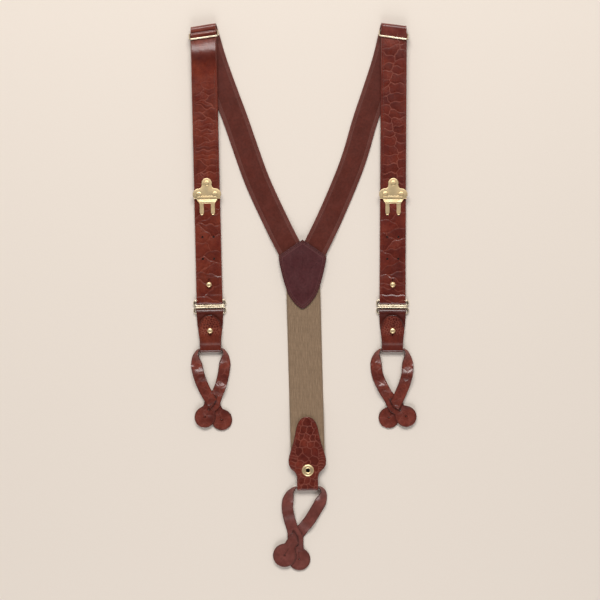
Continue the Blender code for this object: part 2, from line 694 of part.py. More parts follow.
def make_double_loop(side, parent):
    """Two wire rings joined by short bridges between their middle bars."""
    frame = front_frame(side, 0.0, LOOP_Z)
    upper, lower = LOOP_RINGS[0][1], LOOP_RINGS[1][0]
    rings = [wire_ring(LOOP_WIDTH, a - b, (a - b) / 2 - 0.01 * MM, LOOP_WIRE,
                       frame @ Matrix.Translation((0.0, (a + b) / 2, 0.0)), 4)
             for a, b in LOOP_RINGS]
    loop = piece(f"{side}_double_loop", rings[0], "wire", parent)
    tools = [cutter_object(f"{side}_lower_ring", rings[1])]
    for name, across in (("left", -13.2 * MM), ("right", 13.2 * MM)):
        bm = bmesh.new()
        at = frame @ Matrix.Translation((across, (upper + lower) / 2, 0.0))
        bmesh.ops.create_cone(bm, cap_ends=True, segments=8, radius1=0.6 * MM, radius2=0.6 * MM,
                              depth=upper - lower, matrix=at @ Matrix.Rotation(math.pi / 2, 4, "X"))
        mesh = bpy.data.meshes.new("bridge")
        bm.to_mesh(mesh)
        bm.free()
        tools.append(cutter_object(f"{side}_bridge_{name}", mesh))
    boolean(loop, tools, "UNION")


def make_lower_tab(side, parent):
    """The folded tab: over the double loop at the top, round the button strap at the bottom."""
    frame = front_frame(side, 0.0, 0.0)
    bar = (LOOP_RINGS[1][1], LOOP_Z)
    turn = (3.7 - 0.45) / 2 * MM
    rows = [((-19.8 * MM, 4.75 * MM), TAB_LEATHER), ((-20.6 * MM, 4.68 * MM), TAB_LEATHER),
            ((-22.2 * MM, 4.52 * MM), TAB_LEATHER), ((-24.6 * MM, 4.25 * MM), TAB_LEATHER),
            ((-28.8 * MM, 3.95 * MM), TAB_LEATHER), ((-44.0 * MM, 3.9 * MM), TAB_LEATHER),
            ((-52.0 * MM, 4.55 * MM), TAB_LEATHER)]
    rows += [(p, TAB_LEATHER) for p in bend((EYE_Y, EYE_Z), EYE_MID, EYE_MID, 90, 270, 8)]
    rows += [((-44.0 * MM, 0.6 * MM), TAB_LEATHER), ((-26.0 * MM, 0.6 * MM), TAB_LEATHER)]
    rows += [(p, SKIVED) for p in bend((bar[0], 0.45 * MM + turn), 2.6 * MM, turn, -90, 90, 8)]
    rows += [((-21.8 * MM, 2.75 * MM), SKIVED), ((-25.5 * MM, 2.25 * MM), SKIVED),
             ((-33.5 * MM, 2.25 * MM), SKIVED)]
    path = [p for p, _ in rows]
    body = ((-60.5 * MM, 23.0 * MM), (-47.0 * MM, 23.6 * MM), (-30.0 * MM, 28.0 * MM),
            (-14.0 * MM, 29.8 * MM))
    arch = ((-28.8 * MM, 22.4 * MM), (-24.6 * MM, 18.6 * MM), (-22.2 * MM, 14.0 * MM),
            (-20.6 * MM, 9.0 * MM), (-19.8 * MM, 4.0 * MM))

    def section(k, along):
        width = table(along, arch) if k < 4 else table(along, body)
        return flat_section(width, rows[k][1])

    tab = piece(f"{side}_lower_tab", folded_strip(frame, path, section), "croc", parent)
    hole = pegs(f"{side}_lower_stud_hole", [(0.0, STUD_LOWER_Y)], 1.6 * MM, -1 * MM, 6 * MM, frame)
    slit = [slot_cutter(f"{side}_lower_stud_slit", (0.0, STUD_LOWER_Y), (0.0, -6.0 * MM, 0.9 * MM),
                        2.4 * MM, 6 * MM, frame)]
    boolean(tab, hole + slit, "DIFFERENCE")
    make_stud(f"{side}_lower_stud", frame @ Vector((0.0, STUD_LOWER_Y, 0.25 * MM)), parent, 4.45 * MM)


def make_button_strap(name, frame, eye_y, legs, radii, levels, parent, finish):
    """One strip through a tab's eye with two crossing legs, each with a round buttonhole end.

    levels are the heights of the strip's middle in the eye, and of each leg where it lies.
    """
    in_fold, under, over = levels
    lines = []
    for leg in legs:
        out = 1 if leg[0][0] > 0 else -1
        start = [(out * 8.0 * MM, eye_y), (out * 11.9 * MM, eye_y)]
        whole = start + [(x * MM, y * MM) for x, y in leg]
        placed = [frame @ Vector((x, y, 0.0)) for x, y in whole]
        lines.append(smooth_line([Vector((p.x, p.y, 0.0)) for p in placed], 3.2 * MM))
    points = []
    widths = []
    heights = []
    for number, (line, radius, level) in enumerate(zip(lines, radii, (under, over))):
        beyond = (line[-1] - line[-2]).normalized()
        centre = line[-1]
        tail = [centre + beyond * radius * f for f in (0.35, 0.65, 0.85, 0.96, 1.0)]
        line = line + tail
        run = [0.0]
        for a, b in zip(line, line[1:]):
            run.append(run[-1] + (b - a).length)
        wide = []
        for point in line:
            off = (point - centre).length
            disc = 2 * math.sqrt(max(radius ** 2 - off ** 2, (1.0 * MM) ** 2))
            leg = BUTTON_LEG if (point - centre).dot(beyond) < 0 else 0.0
            wide.append(max(disc, leg))
        rows = ((4.6 * MM, EYE_STRIP), (8 * MM, 3.6 * MM), (15 * MM, 7.6 * MM), (26 * MM, BUTTON_LEG))
        wide = [min(w, table(d, rows)) if d < 30 * MM else w for w, d in zip(wide, run)]
        high = [table(d, ((5 * MM, in_fold), (24 * MM, level))) for d in run]
        if number == 0:
            points, widths, heights = line[::-1], wide[::-1], high[::-1]
        else:
            points, widths, heights = points + line, widths + wide, heights + high
    strap = piece(name, flat_ribbon(points, widths, heights, BUTTON_LEATHER), finish, parent)
    flat = Matrix.Identity(4)
    for number, (line, level) in enumerate(zip(lines, (under, over))):
        centre = line[-1]
        back = (line[-6] - centre).normalized() * BUTTONHOLE_SLIT
        low, high = level - 1.3 * MM, level + 1.3 * MM
        place = (centre.x, centre.y)
        tools = pegs(f"{name}_hole_{number}", [place], BUTTONHOLE_RADIUS, low, high, flat, segments=12)
        tools.append(slot_cutter(f"{name}_slit_{number}", place, (back.x, back.y, 1.0 * MM),
                                 low, high, flat))
        boolean(strap, tools, "DIFFERENCE")


# ---------------------------------------------------------------- back

def yoke_outline():
    """Outline of the yoke: a kite with a drawn-out lower point."""
    half = [(0.0, 62.7), (26.2, 44.6), (25.4, 37.5), (22.6, 25.0), (19.3, 13.2), (15.2, 2.5),
            (9.5, -5.8), (4.2, -10.9), (0.0, -12.9)]
    right = [(x * MM + YOKE_CENTRE, y * MM) for x, y in half]
    left = [(-x * MM + YOKE_CENTRE, y * MM) for x, y in half[1:-1]]
    return right + left[::-1]


def make_yoke():
    """The two leather patches that hold the arms and the elastic between them."""
    low = YOKE_RAISE + STRAP_THICK + GAP
    piece("yoke_outer_patch", outline_plate(yoke_outline(), YOKE_OUTER_THICK, Matrix.Identity(4)), "croc")
    piece("yoke_inner_patch",
          outline_plate(yoke_outline(), YOKE_INNER_THICK, Matrix.Translation((0.0, 0.0, low))), "yoke")


def elastic_centre(y):
    """The elastic's middle line, which leans a little to the right as it falls."""
    return 3.0 * MM + math.tan(ELASTIC_LEAN) * (11.0 * MM - y)


def make_elastic():
    """The woven elastic web from the yoke to the rear tab."""
    levels = ((34.0, YOKE_RAISE), (-15.0, YOKE_RAISE), (-40.0, 0.1 * MM), (-110.0, 0.1 * MM),
              (-134.0, REAR_LIFT + 1.65 * MM), (-184.0, REAR_LIFT + 1.65 * MM))
    points = []
    heights = []
    for y in (34, 8, -15, -27, -40, -75, -110, -122, -134, -184):
        points.append(Vector((elastic_centre(y * MM), y * MM, 0.0)))
        heights.append(table(y, levels) + ELASTIC_THICK / 2)
    piece("elastic_web",
          flat_ribbon(points, [ELASTIC_WIDTH] * len(points), heights, ELASTIC_THICK), "elastic")


def rear_frame():
    """The rear tab's frame: X across, Y up along it, Z off the floor."""
    at = Matrix.Translation((elastic_centre(-182 * MM) - 0.7 * MM, -182 * MM, REAR_LIFT))
    return at @ Matrix.Rotation(0.4 * ELASTIC_LEAN, 4, "Z")


def make_rear_tab(parent):
    """The rear tab: two equal leaves with arched ends, folded round the rear button strap."""
    frame = rear_frame()
    shift = 182.0
    low = TAB_LEATHER / 2
    high = TAB_LEATHER * 1.5 + REAR_GAP
    leaf = [-131.5, -132.2, -134.0, -137.5, -143.0, -151.0, -160.0, -167.0, -174.0, -179.0, -184.0,
            -188.0, -190.5, -193.0, -197.0]
    front = [((y + shift) * MM, high) for y in leaf]
    back = [((y + shift) * MM, low) for y in reversed(leaf)]
    fold = bend((REAR_EYE_Y, EYE_Z), EYE_MID, EYE_MID, 90, 270, 8)
    widths = ((-212.0, 23.3), (-197.0, 23.3), (-193.0, 26.0), (-190.5, 31.0), (-188.0, 36.5),
              (-184.0, 40.8), (-179.0, 41.4), (-174.0, 39.6), (-167.0, 35.4), (-160.0, 30.6),
              (-151.0, 26.6), (-143.0, 23.4), (-137.5, 19.0), (-134.0, 13.6), (-132.2, 7.8),
              (-131.5, 3.0))

    def section(k, along):
        return flat_section(table(along / MM - shift, widths) * MM, TAB_LEATHER)

    tab = piece("rear_tab", folded_strip(frame, front + fold + back, section), "croc", parent)
    at = Matrix.Translation((EYELET[0], EYELET[1], 0.0))
    hole = pegs("eyelet_hole", [(0.0, 0.0)], 3.1 * MM, -1 * MM, 8 * MM, at, segments=16)
    boolean(tab, hole, "DIFFERENCE")
    top = REAR_LIFT + 2 * TAB_LEATHER + REAR_GAP
    flange = [(2.25 * MM, top + 0.95 * MM), (4.2 * MM, top + 1.5 * MM), (6.1 * MM, top + 1.0 * MM),
              (6.5 * MM, top + GAP), (2.8 * MM, top + GAP), (2.8 * MM, 0.1 * MM),
              (2.25 * MM, 0.1 * MM)]
    piece("rear_eyelet", turned(flange, at, 24), "brass", parent)
    washer = [(3.1 * MM, REAR_LIFT - GAP), (6.2 * MM, REAR_LIFT - GAP), (6.2 * MM, 0.0), (3.1 * MM, 0.0)]
    piece("eyelet_washer", turned(washer, at, 24), "brass", parent)


# ---------------------------------------------------------------- assembly

def make_side(side):
    """Everything on one side of the braces, with an empty on each joint's axis."""
    fold = fold_geometry(side)
    frame = front_frame(side)
    make_arm(side, fold)
    make_shoulder_fold(side, fold)
    # The fold unrolls, so its hinge lies a little past its crest.
    pivot = fold["first"].lerp(fold["last"], 0.5) + fold["ahead"] * (math.pi / 2 * fold["radius"])
    front = joint_empty(f"{side}_shoulder_hinge", pivot)
    make_front_run(side, fold, front)
    strap = joint_empty(f"{side}_length_slide", frame @ Vector((0.0, ENGAGED_Y, STRAP_THICK)), front)
    make_hole_strap(side, strap)
    # The hole strap's stud stands on its return leaf.
    make_stud(f"{side}_upper_stud", frame @ Vector((0.0, STUD_UPPER_Y, -1.25 * MM)), strap, 3.95 * MM)
    keeper = joint_empty(f"{side}_keeper_hinge", keeper_turn(side).translation, strap)
    make_keeper(side, keeper)
    level = front_frame(side, 0.0, LOOP_Z)
    loop = joint_empty(f"{side}_loop_hinge", level @ Vector((0.0, LOOP_RINGS[0][0], 0.0)), strap)
    make_double_loop(side, loop)
    tab = joint_empty(f"{side}_tab_hinge", level @ Vector((0.0, LOOP_RINGS[1][1], 0.0)), loop)
    make_lower_tab(side, tab)
    ground = front_frame(side, 0.0, 0.0)
    button = joint_empty(f"{side}_button_hinge", ground @ Vector((0.0, EYE_Y, EYE_Z)), tab)
    make_button_strap(f"{side}_button_strap", ground, EYE_Y, SIDES[side]["legs"],
                      (11.5 * MM, 11.5 * MM), (EYE_Z, 0.85 * MM, 2.75 * MM), button, "croc")


for side_name in SIDES:
    make_side(side_name)
make_yoke()
make_elastic()
stretch = joint_empty("elastic_stretch", (elastic_centre(-134 * MM), -134 * MM, REAR_LIFT))
make_rear_tab(stretch)
rear_button = joint_empty("rear_button_hinge", rear_frame() @ Vector((0.0, REAR_EYE_Y, EYE_Z)), stretch)
make_button_strap("rear_button_strap", rear_frame(), REAR_EYE_Y, REAR_LEGS, (12.2 * MM, 12.8 * MM),
                  (REAR_LIFT + EYE_Z, 0.85 * MM, 2.75 * MM), rear_button, "lining")
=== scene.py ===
"""Leather braces laid out flat, seen from straight above.

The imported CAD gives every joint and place. Each visible piece is rebuilt here with its real
surface: croc-embossed straps with turned and stitched edges, woven elastic, polished wire.
Lengths are in millimetres until a mesh is made.
"""
import json
import math

import bmesh
import bpy
import numpy as np
from mathutils import Matrix, Vector


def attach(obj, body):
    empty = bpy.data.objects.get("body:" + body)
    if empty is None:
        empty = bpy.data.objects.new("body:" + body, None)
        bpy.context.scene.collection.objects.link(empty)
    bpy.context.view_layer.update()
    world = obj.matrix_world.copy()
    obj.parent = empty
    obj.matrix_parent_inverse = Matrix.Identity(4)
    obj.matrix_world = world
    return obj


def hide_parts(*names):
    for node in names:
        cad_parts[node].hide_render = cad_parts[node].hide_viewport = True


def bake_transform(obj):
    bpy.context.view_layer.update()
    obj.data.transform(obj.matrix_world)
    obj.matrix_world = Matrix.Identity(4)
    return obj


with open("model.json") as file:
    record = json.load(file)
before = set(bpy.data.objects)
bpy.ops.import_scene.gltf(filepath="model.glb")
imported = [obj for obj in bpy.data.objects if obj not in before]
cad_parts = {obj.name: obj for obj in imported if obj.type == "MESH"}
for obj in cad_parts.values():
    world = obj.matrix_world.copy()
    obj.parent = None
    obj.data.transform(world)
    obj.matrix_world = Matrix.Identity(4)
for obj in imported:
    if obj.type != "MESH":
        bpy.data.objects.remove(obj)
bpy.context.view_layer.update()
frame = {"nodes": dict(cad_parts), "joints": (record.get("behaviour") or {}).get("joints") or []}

MM = 0.001
SIDES = ("left", "right")
JOINTS = {joint["name"]: joint for joint in frame["joints"]}

# Straps.
STRAP = 1.8                 # thickness
TURNED = 4.7                # width of the turned edge
EDGE = 0.6                  # how far a strap's edges are rounded off
CLEAR = 0.3                 # gap between pieces that rest on one another
SHOULDER_WIDTH = 27.5
HOLE_STRAP_WIDTH = 28.6
FRONT_LIFT = 1.15           # hole strap's underside over the floor, where Y = 0 in its frame
FRONT_LOW = 2.6             # shoulder strap's underside over the hole strap's
FRONT_END = 109.0           # place of the shoulder strap's lower end
KEEPER_AT = 293.0           # place of the keeper along a front strap
SWELL = {"left": 2.4, "right": 0.4}     # height of the hump in front of the keeper
SWELL_AT = 29.0             # and how far past the shoulder fold its top is
TAB = 1.2                   # thickness of the tabs
BUTTON = 1.5                # and of the button straps
BUTTON_WIDTH = 12.8
BUTTON_LEVELS = (0.85, 2.75)            # heights of the two buttonhole ends
ELASTIC_WIDTH = 37.4
ELASTIC_THICK = 1.5
ELASTIC_RIBS = 33

# Metal.
LOOP_Z = 2.1                # height of the double loop's wire
LOOP_RINGS = ((-3.6, -9.2), (-11.3, -18.0))     # places of each ring's two bars
LOOP_WIDTH = 34.2
LOOP_WIRE = 1.7
KEEPER_TOP = (-6.5, 5.0)    # along, height of its front bar from its rear one
KEEPER_WIDTH = 31.2
KEEPER_WIRE = 1.8
PLATE_LOW = FRONT_LOW + STRAP + CLEAR
PLATE = 0.8
RIVETS = {"top": (0.0, 124.7), "inner": (-8.7, 112.6), "outer": (8.7, 112.6)}
HOLE_SPREAD = 12.2          # between the two prongs, and the two holes of a pair
HOLE_RADIUS = 1.2
HOLE_ROWS = [89.9 + 24.0 * k for k in range(-2, 7)]
STUD_UPPER = 13.5
STUD_LOWER = -37.0
EYE = (-57.55, 2.95)        # along, height of the eye in a lower tab
REAR_EYE = (-27.05, 2.95)

# Plan of the parts that curve, in the CAD's drawing, whose origin lies at DRAWN from the frame's.
DRAWN = Vector((-2.2, -0.3, 0.0))
ARMS = {"left": ((-92.4, 251.9), (-71.0, 193.6), (-62.6, 169.4), (-46.9, 126.0), (-25.1, 78.9),
                 (-11.5, 53.5)),
        "right": ((91.3, 255.2), (71.0, 193.6), (61.8, 161.7), (51.7, 132.8), (32.3, 87.2),
                  (16.4, 56.2))}
ARM_ENDS = {"left": ((1.4, 54.5), (-17.5, 36.5)), "right": ((3.0, 56.0), (22.0, 37.0))}
FOLD_FROM = {"left": (-104.9, 293.2), "right": (101.2, 295.2)}
LEGS = {
    "left": (((-14.6, -59.6), (-16.3, -65.0), (-15.9, -73.0), (-13.4, -85.7), (-8.6, -99.4),
              (-2.0, -112.0), (4.7, -123.7), (10.4, -135.3)),
             ((14.4, -59.6), (15.9, -65.0), (15.4, -72.5), (13.6, -84.5), (9.8, -98.3),
              (4.0, -110.6), (-2.4, -121.5), (-7.9, -131.9))),
    "right": (((14.9, -59.4), (16.4, -64.5), (16.9, -71.5), (16.4, -84.0), (12.5, -98.0),
               (7.0, -111.0), (1.1, -122.5), (-3.3, -132.8)),
              ((-14.8, -59.6), (-17.2, -65.0), (-17.8, -73.0), (-16.0, -86.0), (-10.1, -99.5),
               (-2.1, -112.0), (6.8, -122.5), (15.5, -131.2))),
    "rear": (((-15.5, -28.6), (-19.8, -35.0), (-22.4, -47.5), (-20.0, -62.8), (-15.4, -77.8),
              (-11.7, -91.8), (-10.0, -106.2)),
             ((15.2, -28.8), (17.0, -33.0), (15.6, -39.5), (10.8, -48.8), (2.8, -61.6),
              (-7.8, -75.0), (-18.0, -87.8), (-26.1, -101.4))),
}


# ---------------------------------------------------------------- frames from the CAD's joints

def upright(joint, along, height):
    """A level frame with X against a swing joint's axis, and that joint at (0, along, height)."""
    across = -Vector(JOINTS[joint]["axis"]).normalized()
    up = Vector((0.0, 0.0, 1.0))
    ahead = up.cross(across)
    turn = Matrix((across, ahead, up)).transposed().to_4x4()
    at = Vector(JOINTS[joint]["pos_m"]) / MM - ahead * along - up * height
    return Matrix.Translation(at) @ turn


LEVEL = {side: upright(f"{side}_loop_swing", LOOP_RINGS[0][0], LOOP_Z) for side in SIDES}
REAR = upright("rear_button_strap_swing", *REAR_EYE)
SLOPE = math.asin(-JOINTS["left_length_slide"]["axis"][2])
FRONT = {side: LEVEL[side] @ Matrix.Translation((0.0, 0.0, FRONT_LIFT))
         @ Matrix.Rotation(SLOPE, 4, "X") for side in SIDES}


# ---------------------------------------------------------------- small mathematics

def smooth(value, low, high):
    """0 at low, 1 at high, with no corner at either."""
    t = np.clip((value - low) / (high - low), 0.0, 1.0)
    return t * t * (3.0 - 2.0 * t)


def hump(value, middle, reach):
    """1 at the middle, falling away to both sides."""
    return np.exp(-((value - middle) / reach) ** 2)


def spaced(points, step):
    """Points a step apart along a Catmull-Rom curve through the given ones."""
    points = [np.array(p, float) for p in points]
    guide = [2 * points[0] - points[1]] + points + [2 * points[-1] - points[-2]]
    fine = []
    for a, b, c, d in zip(guide, guide[1:], guide[2:], guide[3:]):
        for t in np.linspace(0.0, 1.0, 24, endpoint=False):
            fine.append(0.5 * (2 * b + (c - a) * t + (2 * a - 5 * b + 4 * c - d) * t ** 2
                               + (3 * b - a - 3 * c + d) * t ** 3))
    fine = np.array(fine + [points[-1]])
    run = run_of(fine)
    wanted = np.linspace(0.0, run[-1], max(2, int(round(run[-1] / step)) + 1))
    return np.stack([np.interp(wanted, run, fine[:, k]) for k in range(fine.shape[1])], axis=1)


def run_of(points):
    """Distance along a line of points."""
    return np.concatenate(([0.0], np.cumsum(np.linalg.norm(np.diff(points, axis=0), axis=1))))


def unit(rows):
    return rows / np.linalg.norm(rows, axis=-1, keepdims=True)


def moved(matrix, points):
    """Points carried by a matrix."""
    turn = np.array(matrix.to_3x3())
    return np.asarray(points, float) @ turn.T + np.array(matrix.translation)


def turned(matrix, vectors):
    """Directions carried by a matrix."""
    return np.asarray(vectors, float) @ np.array(matrix.to_3x3()).T


def bend(centre, reach, rise, start, stop, count):
    """Points on an ellipse in an (along, height) plane, angles in degrees."""
    turn = np.radians(np.linspace(start, stop, count + 1))
    return [(centre[0] + reach * math.cos(t), centre[1] + rise * math.sin(t)) for t in turn]


# ---------------------------------------------------------------- materials

def shader_tree(name):
    made = bpy.data.materials.new(name)
    made.use_nodes = True
    tree = made.node_tree
    return made, tree, tree.nodes["Principled BSDF"]


def fill(tree, socket, value):
    """Link a socket to another one, or set it."""
    if isinstance(value, bpy.types.NodeSocket):
        tree.links.new(value, socket)
    else:
        socket.default_value = value


def dress(tree, node, **settings):
    """Set a node's properties, and fill its sockets: by name, or as i0, i1 by place."""
    for key, value in settings.items():
        if key in node.bl_rna.properties and not key[0].isupper():
            setattr(node, key, value)
        elif key[1:].isdigit():
            fill(tree, node.inputs[int(key[1:])], value)
        else:
            fill(tree, node.inputs[key.replace("_", " ")], value)
    return node


def add(tree, kind, **settings):
    return dress(tree, tree.nodes.new(kind), **settings)


def ramp(tree, value, *stops):
    """A colour ramp: stops are (position, colour or grey)."""
    node = add(tree, "ShaderNodeValToRGB", Fac=value)
    elements = node.color_ramp.elements
    while len(elements) < len(stops):
        elements.new(0.5)
    for element, (position, colour) in zip(elements, stops):
        element.position = position
        element.color = (*colour, 1.0) if isinstance(colour, tuple) else (colour,) * 3 + (1.0,)
    return node.outputs["Color"]


def blend_colour(tree, factor, a, b, mode="MIX"):
    """Two colours, as sockets or tuples, mixed by a factor."""
    a, b = ((*value, 1.0) if isinstance(value, tuple) else value for value in (a, b))
    return add(tree, "ShaderNodeMix", data_type="RGBA", blend_type=mode, i0=factor, i6=a,
               i7=b).outputs[2]


def maths(tree, operation, a, b=0.0):
    return add(tree, "ShaderNodeMath", operation=operation, i0=a, i1=b).outputs[0]


def attribute(tree, name, output="Fac"):
    return add(tree, "ShaderNodeAttribute", attribute_name=name).outputs[output]


def noise(tree, where, scale, detail=3.0, rough=0.5):
    return add(tree, "ShaderNodeTexNoise", Vector=where, Scale=scale, Detail=detail,
               Roughness=rough).outputs["Fac"]


def bumped(tree, height, strength, distance):
    return add(tree, "ShaderNodeBump", Height=height, Strength=strength,
               Distance=distance).outputs["Normal"]


def leather(name, deep, bright, tone_and_painted_light, edge, flesh, roughness, grain, pores, gloss, shine,
            own_skin=True):
    """Finished leather: colour clouds, painted highlights and painted shade (with some tone) from
    an attribute, dark cut edges, a rough flesh side, fine grain.

    A piece made here has its own skin coordinates; a carried-over node uses its place.
    """
    made, tree, shader = shader_tree(name)
    if own_skin:
        skin = attribute(tree, "skin", "Vector")
    else:
        skin = add(tree, "ShaderNodeTexCoord").outputs["Object"]
    clouds = noise(tree, skin, 55.0, 4.0, 0.6)
    streaks = noise(tree, skin, 420.0, 2.0)
    colour = ramp(tree, clouds, (0.30, deep), (0.72, bright))
    colour = blend_colour(tree, 0.35, colour, ramp(tree, streaks, (0.3, 0.55), (0.7, 1.35)),
                          "MULTIPLY")
    shade = attribute(tree, "tone_and_painted_light")
    # Painted light: negative attribute values darken towards painted shade, positive ones lighten
    # towards the painted highlight colour.
    colour = blend_colour(tree, maths(tree, "MAXIMUM", maths(tree, "MULTIPLY", shade, -1.0), 0.0),
                          colour, tuple(0.22 * c for c in deep))
    colour = blend_colour(tree, maths(tree, "MAXIMUM", shade, 0.0), colour, tone_and_painted_light)
    colour = blend_colour(tree, attribute(tree, "flesh"), colour, flesh)
    colour = blend_colour(tree, attribute(tree, "rim"), colour, edge)
    cells = add(tree, "ShaderNodeTexVoronoi", Vector=skin, Scale=pores, feature="SMOOTH_F1")
    fine = noise(tree, skin, 1900.0, 3.0)
    height = maths(tree, "ADD", maths(tree, "MULTIPLY", cells.outputs["Distance"], 0.7),
                   maths(tree, "MULTIPLY", fine, 0.5))
    rough = ramp(tree, noise(tree, skin, 130.0, 3.0),
                 (0.25, max(0.05, roughness - 0.09)), (0.8, roughness + 0.12))
    rough = blend_colour(tree, attribute(tree, "flesh"), rough, (0.72,) * 3)
    dress(tree, shader, Base_Color=colour, Roughness=rough,
          Normal=bumped(tree, height, grain, 0.00025), Specular_IOR_Level=shine,
          Coat_Weight=gloss, Coat_Roughness=0.16)
    return made


def metal(name, colour, dark, roughness, scale):
    """Plated metal: fine brush marks, a little tarnish in cloudy patches."""
    made, tree, shader = shader_tree(name)
    where = add(tree, "ShaderNodeTexCoord").outputs["Object"]
    patches = noise(tree, where, scale, 4.0, 0.6)
    marks = noise(tree, where, 1400.0, 2.0)
    dress(tree, shader, Base_Color=ramp(tree, patches, (0.32, dark), (0.62, colour)), Metallic=1.0,
          Roughness=ramp(tree, patches, (0.3, roughness + 0.14), (0.7, roughness)),
          Normal=bumped(tree, marks, 0.05, 0.00002))
    return made


def webbing(name):
    """Elastic: warp ribs are in the mesh; here are the rubber's cross ripple and the yarns."""
    made, tree, shader = shader_tree(name)
    skin = attribute(tree, "skin", "Vector")
    ripple = add(tree, "ShaderNodeTexWave", Vector=skin, Scale=210.0, Distortion=1.2, Detail=2.0,
                 Detail_Scale=3.0, bands_direction="X")
    yarn = add(tree, "ShaderNodeTexWave", Vector=skin, Scale=420.0, Distortion=0.6, Detail=1.0,
               bands_direction="Y")
    weave = maths(tree, "MULTIPLY", ripple.outputs["Fac"], yarn.outputs["Fac"])
    stretched = add(tree, "ShaderNodeMapping", Vector=skin, Scale=(0.12, 1.0, 1.0))
    warp = noise(tree, stretched.outputs["Vector"], 900.0, 2.0)
    colour = ramp(tree, warp, (0.3, (0.238, 0.148, 0.080)), (0.7, (0.348, 0.228, 0.132)))
    colour = blend_colour(tree, 0.5, colour, ramp(tree, weave, (0.0, 0.66), (0.8, 1.12)),
                          "MULTIPLY")
    # Painted shade from the attribute: darker in the rib valleys and towards the web's edges.
    colour = blend_colour(tree, attribute(tree, "tone_and_painted_light"), colour, (0.150, 0.105, 0.062))
    dress(tree, shader, Base_Color=colour, Normal=bumped(tree, weave, 0.5, 0.0003), Roughness=0.82,
          Sheen_Weight=0.35, Sheen_Roughness=0.5)
    return made


def thread(name):
    """Waxed thread: two plies that wind round each other."""
    made, tree, shader = shader_tree(name)
    where = add(tree, "ShaderNodeTexCoord").outputs["Object"]
    ply = add(tree, "ShaderNodeTexWave", Vector=where, Scale=900.0, bands_direction="DIAGONAL")
    colour = ramp(tree, ply.outputs["Fac"], (0.0, (0.090, 0.030, 0.022)),
                  (1.0, (0.210, 0.085, 0.062)))
    dress(tree, shader, Base_Color=colour, Roughness=0.8, Specular_IOR_Level=0.2)
    return made


# Each leather's colours: deep, bright, the colour of painted highlights, edge, flesh.
CROC = leather("croc_leather", (0.105, 0.013, 0.008), (0.205, 0.038, 0.019), (0.300, 0.105, 0.070),
               (0.020, 0.006, 0.004), (0.150, 0.052, 0.032), roughness=0.32, grain=0.22,
               pores=700.0, gloss=0.5, shine=0.26)
CROC_DARK = leather("croc_leather_dark", (0.090, 0.011, 0.008), (0.185, 0.032, 0.018),
                    (0.280, 0.100, 0.070), (0.018, 0.006, 0.005), (0.120, 0.040, 0.028),
                    roughness=0.32, grain=0.26, pores=700.0, gloss=0.5, shine=0.26)
PLAIN = {"deep": (0.082, 0.018, 0.012), "bright": (0.116, 0.026, 0.018),
         "tone_and_painted_light": (0.165, 0.058, 0.046), "edge": (0.050, 0.016, 0.013),
         "flesh": (0.120, 0.045, 0.032), "roughness": 0.42, "grain": 0.14, "pores": 1500.0,
         "gloss": 0.05, "shine": 0.14}
SMOOTH = leather("smooth_leather", **PLAIN)
BORDER = leather("turned_edge_leather", (0.108, 0.030, 0.022), (0.145, 0.046, 0.036),
                 (0.200, 0.080, 0.066), (0.055, 0.018, 0.015), (0.140, 0.040, 0.028),
                 roughness=0.42, grain=0.20, pores=1100.0, gloss=0.05, shine=0.14)
YOKE = leather("yoke_leather", (0.066, 0.018, 0.020), (0.088, 0.027, 0.029), (0.135, 0.054, 0.052),
               (0.040, 0.013, 0.012), (0.110, 0.040, 0.030), roughness=0.36, grain=0.16,
               pores=1300.0, gloss=0.12, shine=0.2)
STRIP = leather("button_strap_leather", (0.085, 0.013, 0.009), (0.225, 0.048, 0.030),
                (0.280, 0.105, 0.080), (0.030, 0.009, 0.007), (0.130, 0.050, 0.034),
                roughness=0.32, grain=0.20, pores=900.0, gloss=0.5, shine=0.36)
REAR_STRIP = leather("rear_strap_leather", (0.105, 0.026, 0.020), (0.200, 0.058, 0.046),
                     (0.220, 0.080, 0.060), (0.035, 0.011, 0.009), (0.130, 0.050, 0.034),
                     roughness=0.34, grain=0.16, pores=1300.0, gloss=0.35, shine=0.4)
UNDER = leather("lining_underside", **PLAIN, own_skin=False)
SCALED = {"left": CROC, "right": CROC_DARK}
BRASS = metal("brass", (0.93, 0.73, 0.43), (0.80, 0.60, 0.33), 0.38, 160.0)
GILT = metal("gilt_wire", (0.80, 0.70, 0.52), (0.58, 0.48, 0.33), 0.24, 160.0)
# A dark metal for a sleeve of painted shade inside the eyelet's bore.
SHADE_SLEEVE_METAL = metal("painted_shade_sleeve", (0.05, 0.04, 0.03), (0.02, 0.016, 0.012), 0.5, 300.0)
ELASTIC = webbing("elastic_webbing")
THREAD = thread("thread")


# ---------------------------------------------------------------- meshes

def linked(name, data):
    """An object in the scene."""
    made = bpy.data.objects.new(name, data)
    bpy.context.scene.collection.objects.link(made)
    return made


def mesh_piece(name, points, faces, finish, slot, body=None, replaces=(), attributes=None,
               back=None, back_faces=None):
    """A smooth-shaded piece from points in millimetres, riding on a body."""
    mesh = bpy.data.meshes.new(name)
    mesh.from_pydata((np.asarray(points) * MM).tolist(), [], faces)
    for key, values in (attributes or {}).items():
        values = np.asarray(values, np.float32)
        kind, field = ("FLOAT_VECTOR", "vector") if values.ndim == 2 else ("FLOAT", "value")
        mesh.attributes.new(key, kind, "POINT").data.foreach_set(field, values.ravel())
    mesh.materials.append(finish)
    if back:
        mesh.materials.append(back)
        mesh.polygons.foreach_set("material_index", back_faces)
    bm = bmesh.new()
    bm.from_mesh(mesh)
    bmesh.ops.remove_doubles(bm, verts=bm.verts, dist=1e-7)
    bmesh.ops.recalc_face_normals(bm, faces=bm.faces)
    bm.to_mesh(mesh)
    bm.free()
    mesh.shade_smooth()
    made = linked(name, mesh)
    if replaces:
        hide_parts(*replaces)
    if body:
        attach(made, body)
    return made


